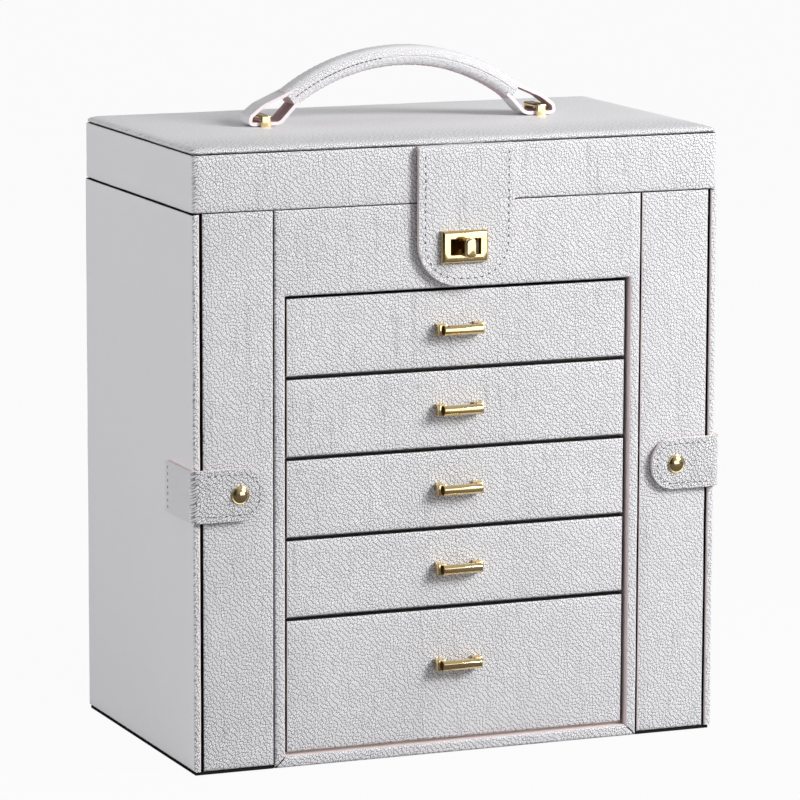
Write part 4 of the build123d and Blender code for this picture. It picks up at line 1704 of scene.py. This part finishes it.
@dataclass
class Lid:
    """The lid: covered ring of boards, padded top cover and mirror.

    Args:
        corner: radius of the upright corners, in millimetres.
        edge: radius of the other edges.
        board: thickness of the ring's boards.
        cover: how the ring is covered.
        lining_lap: how deep in the boards the faces may lie that the lining covers.
        profile: inset and height of the top cover, from its edge to its middle.
        root: inset of the top cover's lower edge.
        seam: thickness of that lower edge.
        seam_shade: height up to which the cover is painted black, as shade in its seam.
        padding: how the top cover waves.
        glass_bevel: width of the mirror's bevel.
    """

    corner: float = 3.2
    edge: float = 1.0
    board: float = 5.0
    cover: Covering = field(default_factory=Covering)
    lining_lap: float = 0.3
    profile: tuple[tuple[float, float], ...] = (
        *((1.0, 0.5), (0.5, 1.2), (0.9, 2.0), (2.0, 2.7)),
        *((3.8, 3.15), (7.0, 3.5), (14.0, 3.8), (34.0, 4.0)),
    )
    root: float = 1.8
    seam: float = 0.2
    seam_shade: float = 0.25
    padding: Covering = field(default_factory=lambda: Covering(row=5.0, swell=0.45, ripple=26.0))
    glass_bevel: float = 0.9

    def build(self) -> None:
        """Build the ring, the cover and the mirror."""
        self.ring()
        self.cushion()
        self.mirror()

    def _on_rim(self, start: Vector, end: Vector, corner: Vector) -> bool:
        """Say whether an edge lies level on the ring's outside, top or bottom.

        Args:
            start: one end of the edge, in millimetres.
            end: its other end.
            corner: the ring's highest corner.

        Returns:
            Whether it does.
        """
        reach = self.board - 0.1
        ends = (start, end)
        far = all(abs(p.x) > corner.x - reach or abs(p.y) > corner.y - reach for p in ends)
        inner_x, inner_y = corner.x - self.board, corner.y - self.board
        inner = lies(abs(start.x), inner_x) or lies(abs(start.y), inner_y)
        return far and lies(start.z, end.z) and not inner

    def ring(self) -> None:
        """Build the ring of boards, lined inside."""
        low, high = spans("lid_frame")
        ring = block("lid_band", low, high)
        ring.edges(running(2)).bevel(self.corner, 5)
        ring.faces(lambda _, normal: abs(normal.z) > 0.9).inset(self.board)
        ring.do(bpy.ops.mesh.bridge_edge_loops)
        ring.edges(lambda start, end: self._on_rim(start, end, high)).bevel(self.edge, 3)
        for axis in range(3):
            ring.rows(axis, self.cover.row)
        ring.outward().wave(self.cover.swell, self.cover.ripple).smooth()
        ring.wear(LEATHER, LINING, BACKING_AND_GAP_SHADE)
        lap = self.lining_lap
        limit_x, limit_y = high.x - self.board + lap, high.y - self.board + lap
        ring.faces(lambda centre, _: abs(centre.x) < limit_x and abs(centre.y) < limit_y).paint(1)
        # The ring's top faces are painted black: shade in the seam under the top cover.
        upper = high.z - self.edge
        ring.faces(lambda centre, normal: centre.z > upper and normal.z > 0.75).paint(2)
        ring.ride("lid", "lid_frame")

    def cushion(self) -> None:
        """Build the padded top cover with its drawn-in seam and raised middle."""
        high = spans("lid_frame")[1]
        top = high.z
        size_x, size_y, level = high.x - self.root, high.y - self.root, top + self.seam
        cover = block("lid_top_cover", (-size_x, -size_y, top), (size_x, size_y, level))
        cover.edges(running(2)).bevel(self.corner, 5)
        for inset, height in self.profile:
            next_x, next_y, next_level = high.x - inset, high.y - inset, top + height
            cover.faces(lambda centre, normal: normal.z > 0.9 and centre.z > level - 0.05)
            cover.pull(0, 0, next_level - level)
            cover.grow((0, 0, next_level), next_x / size_x, next_y / size_y, 1)
            level, size_x, size_y = next_level, next_x, next_y
        for axis in (0, 1):
            cover.rows(axis, self.padding.row)
        cover.wave(self.padding.swell, self.padding.ripple).smooth(60).wear(LEATHER, BACKING_AND_GAP_SHADE)
        # The cover's lowest edge is painted black: shade in its seam on the ring.
        cover.faces(lambda centre, _: centre.z < top + self.seam_shade).paint(1)
        cover.ride("lid", "lid_cushion")

    def mirror(self) -> None:
        """Build the bevelled mirror glass."""
        low, high = spans("lid_mirror")
        glass = block("lid_mirror_glass", low, high)
        glass.edges(on_plane(2, low.z)).bevel(self.glass_bevel, segments=1)
        glass.smooth(10).wear(SILVER).ride("lid", "lid_mirror")


@dataclass
class Handle:
    """Carrying handle: padded grip and two strap loops under gold brackets.

    Args:
        strap_width: width of a loop's strap in millimetres.
        strap_thickness: thickness of the strap.
        strap_row: spacing of the rows across the strap.
        half_span: half the distance between the grip's ends.
        end_height: height of those ends over the lid's cover.
        rise: height of the grip's arc.
        grip_size: height and width of the grip's section.
        grip_round: radius of the section's corners.
        swell: height of the waves in the grip's leather.
        ripple: distance between them.
        rim: width of the painted rim round the grip's ends.
        ridges: how many rings the grip has, every other one drawn in.
        ridge_height: how far those are drawn in.
        seam_depth: how deep the seam lies in the grip's front.
        seam_run: where its stitches start after the left end and stop before the middle (radians).
        stitches: how the seam is sewn.
        loop_run: distance of a bracket from the grip's end.
        reach: how far a loop reaches out past its bracket.
        lean: how far the loop's bends lie inside its corners.
        foot: how far the loop's lower run reaches inwards past the bracket.
        loop_rise: how far over the grip's end and over the bracket the upper run passes.
        loop_bends: radius of the loop's bends, from the grip round to its underside.
        gap: distance of the loop from the lid's cover.
        leg: width of a bracket's leg.
        bar: height of a bracket's bar.
        bracket_width: width of a bracket along the box.
        bracket_ease: radius of its edges.
    """

    strap_width: float = 14.0
    strap_thickness: float = 1.8
    strap_row: float = 3.5
    half_span: float = 63.0
    end_height: float = 13.0
    rise: float = 20.8
    grip_size: tuple[float, float] = (10.4, 15.6)
    grip_round: float = 4.6
    swell: float = 0.35
    ripple: float = 6.0
    rim: float = 0.9
    ridges: int = 84
    ridge_height: float = 0.16
    seam_depth: float = 0.5
    seam_run: tuple[float, float] = (0.04, -0.12)
    stitches: Stitching = field(default_factory=lambda: Stitching(2.6, 1.9, 0.7))
    loop_run: float = 14.5
    reach: float = 8.4
    lean: float = 1.0
    foot: float = 8.4
    loop_rise: tuple[float, float] = (6.2, 4.4)
    loop_bends: tuple[float, ...] = (14.0, 3.4, 2.0, 5.0)
    gap: float = 0.3
    leg: float = 1.7
    bar: float = 2.2
    bracket_width: float = 5.4
    bracket_ease: float = 0.7

    def build(self) -> None:
        """Build the grip, the loops and the brackets."""
        top = spans("lid_cushion")[1].z
        self.grip(top)
        self.loops(top)
        self.brackets()

    def grip(self, top: float) -> None:
        """Spin the grip's section along its arc.

        Args:
            top: height of the lid's cover in millimetres.
        """
        end_z = top + self.end_height
        radius = (self.half_span**2 + self.rise**2) / (2 * self.rise)
        centre = end_z + self.rise - radius
        turn = math.asin(self.half_span / radius)
        name, section = "handle_grip_leather", (*self.grip_size, 1)
        place = {"location": mm(-self.half_span, 0, end_z), "rotation": (0, math.pi / 2 - turn, 0)}
        grip = added(name, bpy.ops.mesh.primitive_plane_add, section, size=MM, **place)
        grip.points(lambda _: True).bevel(self.grip_round, segments=6, corners=True)
        front = min(point.co.y for point in grip.mesh.vertices) / MM
        grip.edges(on_plane(1, front)).do(bpy.ops.mesh.subdivide, number_cuts=3)
        grip.points(lambda place: lies(place.y, front) and lies(place.x, -self.half_span))
        grip.shift(0, self.seam_depth, 0)
        arc = {"steps": self.ridges, "angle": 2 * turn, "center": mm(0, 0, centre)}
        grip.whole().do(bpy.ops.mesh.spin, axis=(0, -1, 0), **arc)
        grip.outward()
        grip.points(lambda place: self._on_ridge(place, centre, turn))
        grip.do(bpy.ops.transform.shrink_fatten, value=-self.ridge_height * MM)
        grip.wave(self.swell, self.ripple).smooth(60).wear(STRETCHED, EDGE, SUEDE)
        grip.faces(lambda _, normal: abs(normal.y) < 0.4 and normal.z < -0.3).paint(2)
        by_corners = sorted(grip.mesh.polygons, key=lambda face: -len(face.vertices))
        ends = [face.index for face in by_corners[:2]]
        grip.select(Part.FACES, [face.index in ends for face in grip.mesh.polygons])
        grip.inset(self.rim).paint(1)
        grip.ride("handle", "handle_grip")
        places = []
        lean = -turn + self.seam_run[0]
        while lean < self.seam_run[1]:
            places.append((radius * math.sin(lean), centre + radius * math.cos(lean), -lean))
            lean += self.stitches.pitch / radius
        plane = front_plane(front + self.seam_depth / 2)
        self.stitches.sew("handle_seam_stitches", places, plane).ride("handle")

    def _on_ridge(self, place: Vector, centre: float, turn: float) -> bool:
        """Say whether a point lies on every other ring of the spin.

        Args:
            place: the point, in millimetres.
            centre: height of the middle of the grip's arc.
            turn: half the arc's angle in radians.

        Returns:
            Whether it does.
        """
        lean = math.atan2(place.x, place.z - centre)
        return round((lean + turn) / (2 * turn) * self.ridges) % 2 == 1

    def loops(self, top: float) -> None:
        """Build the strap that runs out of each end of the grip, under its bracket and back.

        Args:
            top: height of the lid's cover in millimetres.
        """
        high = spans("handle_brackets")[1]
        foot_z = top + self.gap + self.strap_thickness / 2
        bracket_x = -self.half_span - self.loop_run
        toe_x, end_z = bracket_x - self.reach, top + self.end_height
        inside_x = -self.half_span + self.grip_size[0] / 2
        bar_bottom = high.z - self.bar
        route = [
            (inside_x, 0, end_z + self.loop_rise[0]),
            (bracket_x - self.lean, 0, high.z + self.loop_rise[1]),
            (toe_x, 0, bar_bottom + self.lean),
            (toe_x + self.lean, 0, foot_z),
            (bracket_x + self.foot, 0, foot_z),
            (inside_x - self.lean, 0, end_z - 1),
        ]
        loop = ribbon("left_handle_loop", route, self.loop_bends, (0, self.strap_width, 0))
        loop.rows(1, self.strap_row).wear(STRETCHED, WHITE_EDGE, SUEDE)
        loop.thicken(self.strap_thickness, 2).smooth(50)
        right = loop.across("right_handle_loop")
        loop.ride("handle", "handle_loops")
        right.ride("handle")

    def brackets(self) -> None:
        """Build the gold staple over each loop."""
        low, high = spans("handle_brackets")
        end_x = low.x + self.bracket_width
        staple = block("left_handle_bracket", low, (end_x, high.y, high.z))
        inner = high.y - self.leg
        corners = (low.x - 1, -inner, low.z - 1), (end_x + 1, inner, high.z - self.bar)
        staple.cut_out(block("gap", *corners))
        staple.ease(self.bracket_ease, 4).smooth().wear(GOLD)
        right = staple.across("right_handle_bracket")
        staple.ride("lid", "handle_brackets")
        right.ride("lid")


@dataclass
class Tray:
    """Soft pieces inside the top tray.

    Args:
        rolls: how many ring rolls lie side by side.
        gap: distance between two rolls, in millimetres.
        velvet: radius of a roll's top, and how its velvet waves.
        slack: how much smaller a roll is cut than it ends up when stuffed.
        weave: size of the cloth's mesh.
        pressure: of the stuffing.
    """

    rolls: int = 7
    gap: float = 2.0
    velvet: Covering = field(default_factory=lambda: Covering(7.0, 4.0, 0.6, 12.0))
    slack: float = 0.5
    weave: float = 4.0
    pressure: float = 4.0

    def build(self) -> None:
        """Build one ring roll and copy it across the tray."""
        low, high = spans("ring_cushions")
        pitch = (high.y - low.y + self.gap) / self.rolls
        start = low + Vector((self.slack,) * 3)
        end = Vector((high.x, low.y + pitch - self.gap, high.z)) - Vector((self.slack,) * 3)
        roll = block("ring_roll_1", start, end)
        roll.edges(on_plane(2, end.z)).bevel(self.velvet.edge, 6)
        roll.rows(0, self.velvet.row).inflated(self.weave, self.pressure, self.slack * 2)
        roll.wave(self.velvet.swell, self.velvet.ripple).smooth(60).wear(LINING)
        for number in range(2, self.rolls + 1):
            copy = roll.copy(f"ring_roll_{number}", (0, pitch * (number - 1), 0))
            copy.ride("box_body")
        roll.ride("box_body", "ring_cushions")


@dataclass
class DoorFittings:
    """Hook rail and gathered pocket inside a side door.

    Args:
        side: the side of the box.
        cover: how the rail is covered.
        hooks: how many hooks the rail has.
        rail: thickness of the rail, in millimetres.
        peg: radius of a hook.
        tip: radius of a hook's tip.
        collar: how much wider than the peg its collar is, and the collar's height and rounding.
        pleats: how many folds the pocket has.
        fold: depth of a fold.
        fold_round: radius of a fold's bend.
        flat_end: length of flat cloth at each end of the pleats.
        cloth: thickness of the pocket's cloth.
        wall_gap: distance of the pocket's ends from the door.
        cloth_row: height of the cloth's rows.
        gather: height of the rows near the foot that are drawn in.
        gathers: how deep each of those rows stays, as a share, from the foot up.
        foot_gap: distance from the door of the plane that they are drawn to.
        hem: height of the elastic hem.
        hem_depth: how deep the pleats stay at the hem, as a share.
    """

    side: Side
    cover: Covering = field(default_factory=lambda: Covering(edge=1.2, swell=0.2, ripple=12.0))
    hooks: int = 6
    rail: float = 4.0
    peg: float = 1.5
    tip: float = 2.4
    collar: tuple[float, float, float] = (1.0, 0.8, 0.25)
    pleats: int = 20
    fold: float = 3.0
    fold_round: float = 0.9
    flat_end: float = 2.0
    cloth: float = 0.8
    wall_gap: float = 0.15
    cloth_row: float = 4.0
    gather: float = 3.0
    gathers: tuple[float, ...] = (0.12, 0.6, 0.82)
    foot_gap: float = 0.6
    hem: float = 5.0
    hem_depth: float = 0.5

    def build(self) -> None:
        """Build the rail, its hooks and the pocket."""
        self.hook_rail()
        self.pocket()

    def _finish(self, piece: Workpiece, name: str, *nodes: str) -> Workpiece:
        """Put a piece made for the left door on its own door.

        Args:
            piece: the piece.
            name: its name there.
            nodes: names of the nodes that it replaces.

        Returns:
            The piece as it stands.
        """
        if self.side is Side.RIGHT:
            piece = piece.mirrored(name)
        piece.ride(f"{self.side.word}_side_door", *nodes)
        return piece

    def hook_rail(self) -> None:
        """Build the covered rail and one hook, copied along it."""
        word = self.side.word
        low, high = spans("left_hook_rail")
        face = low.x + self.rail
        rail = block(f"{word}_rail", low, (face, high.y, high.z))
        rail.edges(on_plane(0, face)).bevel(self.cover.edge)
        rail.rows(1, self.cover.row).wave(self.cover.swell, self.cover.ripple)
        self._finish(rail.smooth().wear(LEATHER), f"{word}_rail", f"{word}_hook_rail")
        pitch = (high.y - low.y) / self.hooks
        level = (low.z + high.z) / 2
        hook = self.hook(high.x - face - self.tip)
        copies = []
        for count in range(self.hooks):
            place = Matrix.Translation(mm(face, low.y + (count + 0.5) * pitch, level))
            copies.append(hook.turned("hook", place @ Matrix.Rotation(-math.pi / 2, 4, "Z")))
        bpy.data.objects.remove(hook.thing)
        self._finish(joined(f"{word}_hooks", copies), f"{word}_hooks")

    def hook(self, length: float) -> Workpiece:
        """Build one hook along Y from the origin, up to the middle of its tip.

        Args:
            length: distance of that middle from the origin, in millimetres.

        Returns:
            The hook.
        """
        upright = rod("hook", self.peg, (0, 0, 0), (0, length, 0), 24)
        size = {"radius": self.tip * MM, "segments": 24, "ring_count": 16}
        sphere = bpy.ops.mesh.primitive_uv_sphere_add
        ball = added("tip", sphere, location=mm(0, length, 0), **size)
        wider, height, ease = self.collar
        collar = rod("collar", self.peg + wider, (0, 0, 0), (0, height, 0), 24).ease(ease, 2)
        return joined("hook", [upright, ball, collar]).smooth(40).wear(GOLD)

    def pocket(self) -> None:
        """Build the pocket as one pleated sheet, drawn in at its foot and hemmed at its top."""
        word = self.side.word
        low, high = spans("left_pocket")
        half = self.cloth / 2
        outer, wall = high.x - half, low.x + self.wall_gap + half
        pitch = (high.y - low.y - 2 * self.flat_end) / self.pleats
        middle = (low.z + high.z) / 2
        route = [(wall, low.y + half, middle)]
        for count in range(self.pleats):
            start = low.y + self.flat_end + count * pitch
            route.append((outer, start, middle))
            route.append((outer - self.fold, start + pitch / 2, middle))
        route += [(outer, high.y - self.flat_end, middle), (wall, high.y - half, middle)]
        bends = [self.fold_round] * (len(route) - 2)
        sheet = ribbon(f"{word}_gathered_pocket", route, bends, (0, 0, high.z - low.z))
        sheet.rows(2, self.cloth_row)
        for count, factor in enumerate(self.gathers):
            start = low.z + count * self.gather
            sheet.points(lambda place: lies_between(place.z, start, start + self.gather))
            sheet.grow((low.x + self.foot_gap, 0, middle), factor, 1, 1)
        sheet.points(lambda place: place.z > high.z - self.hem - 2)
        sheet.grow((outer - 1, 0, middle), self.hem_depth, 1, 1)
        sheet.wear(LINING, LINING).thicken(self.cloth).smooth(60)
        piece = self._finish(sheet, f"{word}_gathered_pocket", f"{word}_pocket")


@dataclass
class Backs:
    """Covered back panel, and the padded surround of the mirror.

    Args:
        cover: how the back panel is covered.
        padding: how the surround's velvet lies over its padding.
        rim: width of the first inset of the surround, in millimetres.
    """

    cover: Covering = field(default_factory=lambda: Covering(edge=1.0, swell=0.16, ripple=40))
    padding: Covering = field(default_factory=lambda: Covering(edge=1.6, swell=0.5, ripple=16))
    rim: float = 1.0

    def build(self) -> None:
        """Build both."""
        self.panel()
        self.surround()

    def panel(self) -> None:
        """Build the back panel, whose covering stops at its edges."""
        low, high = spans("back_panel")
        panel = block("back_board", low, high)
        panel.edges(on_plane(1, high.y)).bevel(self.cover.edge)
        self.cover.settle(panel, (0, 2)).wear(LEATHER, LINING, BACKING_AND_GAP_SHADE)
        panel.faces(lambda _, normal: normal.y < -0.9).paint(1)
        panel.faces(lambda _, normal: abs(normal.x) > 0.8).paint(2)
        panel.ride("box_body", "back_panel")

    @staticmethod
    def _over_glass(centre: Vector, normal: Vector) -> bool:
        """Say whether a face is the middle one of the surround's top or bottom."""
        return abs(normal.z) > 0.9 and abs(centre.x) < 1

    def surround(self) -> None:
        """Build the surround as a ring with rounded lower edges."""
        low, high = spans("mirror_surround")
        glass = spans("lid_mirror")[1]
        ring = block("mirror_padding", low, high)
        ring.faces(lambda _, normal: abs(normal.z) > 0.9).inset(self.rim)
        factors = glass.x / (high.x - self.rim), glass.y / (high.y - self.rim), 1
        ring.faces(self._over_glass).grow((0, 0, low.z), *factors)
        ring.faces(self._over_glass).do(bpy.ops.mesh.bridge_edge_loops)
        ring.edges(on_plane(2, low.z)).bevel(self.padding.edge, 4)
        for axis in (0, 1):
            ring.rows(axis, self.padding.row)
        ring.outward().wave(self.padding.swell, self.padding.ripple).smooth(60).wear(LINING)
        ring.ride("lid", "mirror_surround")


@dataclass(frozen=True)
class Lamp:
    """Soft rectangular lamp that looks at a point.

    Args:
        place: of its middle, in millimetres.
        size: width and height in millimetres.
        radiance: brightness of its face.
        lighting: whether it lights matt surfaces.
        mirrored: whether it shows in reflections.
    """

    place: tuple[float, float, float]
    size: tuple[float, float]
    radiance: float
    lighting: bool = True
    mirrored: bool = True

    def build(self, target: Place) -> None:
        """Hang the lamp with its face to a target.

        Args:
            target: the point that it looks at, in millimetres.
        """
        bpy.ops.object.light_add(type="AREA", location=mm(*self.place))
        lamp = bpy.context.active_object
        lamp.rotation_euler = (mm(*self.place) - mm(*target)).to_track_quat("Z", "Y").to_euler()
        width, height = (length * MM for length in self.size)
        lamp.data.shape = "RECTANGLE"
        lamp.data.size, lamp.data.size_y = width, height
        lamp.data.energy = self.radiance * math.pi * width * height
        lamp.visible_camera = False
        lamp.visible_diffuse = self.lighting
        lamp.visible_glossy = self.mirrored


@dataclass
class Studio:
    """Plain pale studio: floor, soft lamps and the camera.

    Args:
        azimuth: turn of the camera round the box, in degrees.
        elevation: of the camera, in degrees.
        roll: of the camera, in degrees.
        distance: from the target, in millimetres.
        target: point that the camera looks at.
        lens: focal length in millimetres.
        sensor: width of the sensor.
        farthest: how far the camera sees, in metres.
        horizon: level of the room's light at eye level.
        zenith: level of the room's light from straight above.
        dark_wall: how much darker the room's left wall is in reflections.
        dark_floor: how much darker the floor is in reflections.
        lift: share of the floor that the camera sees as plain white.
        floor_size: width and depth of the floor in metres.
        floor_place: its middle, in millimetres.
        floor_colour: sRGB colour that lights the box from below.
        floor_reflected: sRGB colour that the darkened floor shows in reflections.
        lamps: key lamp, card in front that only metal shows, and fill from the left.
    """

    azimuth: float = -22.38
    elevation: float = 9.553
    roll: float = 0.172
    distance: float = 2616.0
    target: tuple[float, float, float] = (1.0, 0.0, 171.5)
    lens: float = 223.4
    sensor: float = 36.0
    farthest: float = 60.0
    horizon: float = 0.26
    zenith: float = 0.45
    dark_wall: float = 0.9
    dark_floor: float = 0.75
    lift: float = 0.95
    floor_size: float = 24.0
    floor_place: tuple[float, float, float] = (0.0, 4000.0, -0.2)
    floor_colour: str = "#A2A2A4"
    floor_reflected: str = "#2E2620"
    lamps: tuple[Lamp, ...] = (
        Lamp((900, -1020, 860), (570, 570), 26.4),
        Lamp((450, -1150, 225), (700, 440), 2.0, lighting=False),
        Lamp((-1750, 200, 420), (1300, 900), 3.6, mirrored=False),
    )

    def build(self) -> None:
        """Build the floor, the room's light, the lamps and the camera."""
        self.floor()
        self.room()
        for lamp in self.lamps:
            lamp.build(self.target)
        self.camera()

    def floor(self) -> None:
        """Lay a large pale floor just under the box."""
        place = {"size": self.floor_size, "location": mm(*self.floor_place)}
        floor = added("floor", bpy.ops.mesh.primitive_plane_add, **place)
        material = bpy.data.materials.new("matt_white_studio_floor")
        material.use_nodes = True
        tree = material.node_tree
        shader = tree.nodes["Principled BSDF"]
        shader.inputs["Roughness"].default_value = 1.0
        shader.inputs["Specular IOR Level"].default_value = 0.0
        path = add_node(tree, "LightPath")
        darker = {"operation": "MULTIPLY", 1: self.dark_floor}
        mirrored = add_node(tree, "Math", darker, _0=path.outputs["Is Glossy Ray"])
        colours = linear(self.floor_colour), linear(self.floor_reflected)
        tones = {"data_type": "RGBA", 6: colours[0], 7: colours[1]}
        tone = add_node(tree, "Mix", tones, _0=mirrored.outputs[0])
        tree.links.new(tone.outputs[2], shader.inputs["Base Color"])
        glow = add_node(tree, "Emission", {"Color": linear("#FFFFFF"), "Strength": 1.0})
        whiter = {"operation": "MULTIPLY", 1: self.lift}
        share = add_node(tree, "Math", whiter, _0=path.outputs["Is Camera Ray"]).outputs[0]
        mixed = add_node(tree, "MixShader", _0=share, _1=shader.outputs[0], _2=glow.outputs[0])
        tree.links.new(mixed.outputs[0], tree.nodes["Material Output"].inputs["Surface"])
        floor.mesh.materials.append(material)

    def room(self) -> None:
        """Set the level of the room's light, with a left wall that is dark in reflections."""
        world = bpy.data.worlds.new("soft_box_room")
        world.use_nodes = True
        tree = world.node_tree
        place = add_node(tree, "TexCoord")
        spot = add_node(tree, "SeparateXYZ", Vector=place.outputs["Generated"])
        rise = {1: 0.0, 2: 1.0, 3: self.horizon, 4: self.zenith}
        level = add_node(tree, "MapRange", rise, Value=spot.outputs["Z"])
        wall = {1: 0.1, 2: -0.5, 3: 0.0, 4: self.dark_wall}
        left = add_node(tree, "MapRange", wall, Value=spot.outputs["X"])
        path = add_node(tree, "LightPath").outputs["Is Glossy Ray"]
        both = {"operation": "MULTIPLY"}
        dark = add_node(tree, "Math", both, _0=left.outputs[0], _1=path)
        kept = add_node(tree, "Math", {"operation": "SUBTRACT", 0: 1.0}, _1=dark.outputs[0])
        strength = add_node(tree, "Math", both, _0=level.outputs[0], _1=kept.outputs[0])
        background = tree.nodes["Background"]
        background.inputs["Color"].default_value = (1, 1, 1, 1)
        tree.links.new(strength.outputs[0], background.inputs["Strength"])
        bpy.context.scene.world = world

    def camera(self) -> None:
        """Stand the camera where the photograph was taken from."""
        turn, height = math.radians(self.azimuth), math.radians(self.elevation)
        flat = math.cos(height)
        away = Vector((math.sin(turn) * flat, -math.cos(turn) * flat, math.sin(height)))
        bpy.ops.object.camera_add(location=mm(*self.target) + away * self.distance * MM)
        camera = bpy.context.active_object
        roll = Matrix.Rotation(math.radians(self.roll), 3, "Z")
        camera.rotation_euler = (away.to_track_quat("Z", "Y").to_matrix() @ roll).to_euler()
        camera.data.lens = self.lens
        camera.data.sensor_width = self.sensor
        camera.data.clip_end = self.farthest
        bpy.context.scene.camera = camera


def dress_cad_nodes() -> None:
    """Give each CAD node that still shows the finish of its slot."""
    slots = {part["node"]: part["material_slot"] for part in frame["record"]["subparts"]}
    for name, node in frame["nodes"].items():
        if node.hide_render:
            continue
        node.data.materials.clear()
        # The lock base, seen through the slot, wears the dark brass as painted shade.
        finish = SHADED_BRASS if name == "lock_base" else CAD_FINISHES[slots[name]]
        node.data.materials.append(finish.material())
        log.info("%s: finish only", name)


def main() -> None:
    """Build the studio and every part of the box in order."""
    logging.basicConfig(level=logging.INFO, format="%(name)s: %(message)s")
    bpy.context.scene.view_settings.view_transform = "Standard"
    Studio().build()
    FrontBoards().build()
    Drawers().build()
    for side in Side:
        SideDoor(side).build()
        DoorFittings(side).build()
        DoorStrap(side).build()
    Lid().build()
    Handle().build()
    Flap().build()
    Tray().build()
    Backs().build()
    dress_cad_nodes()


if __name__ == "__main__":
    main()
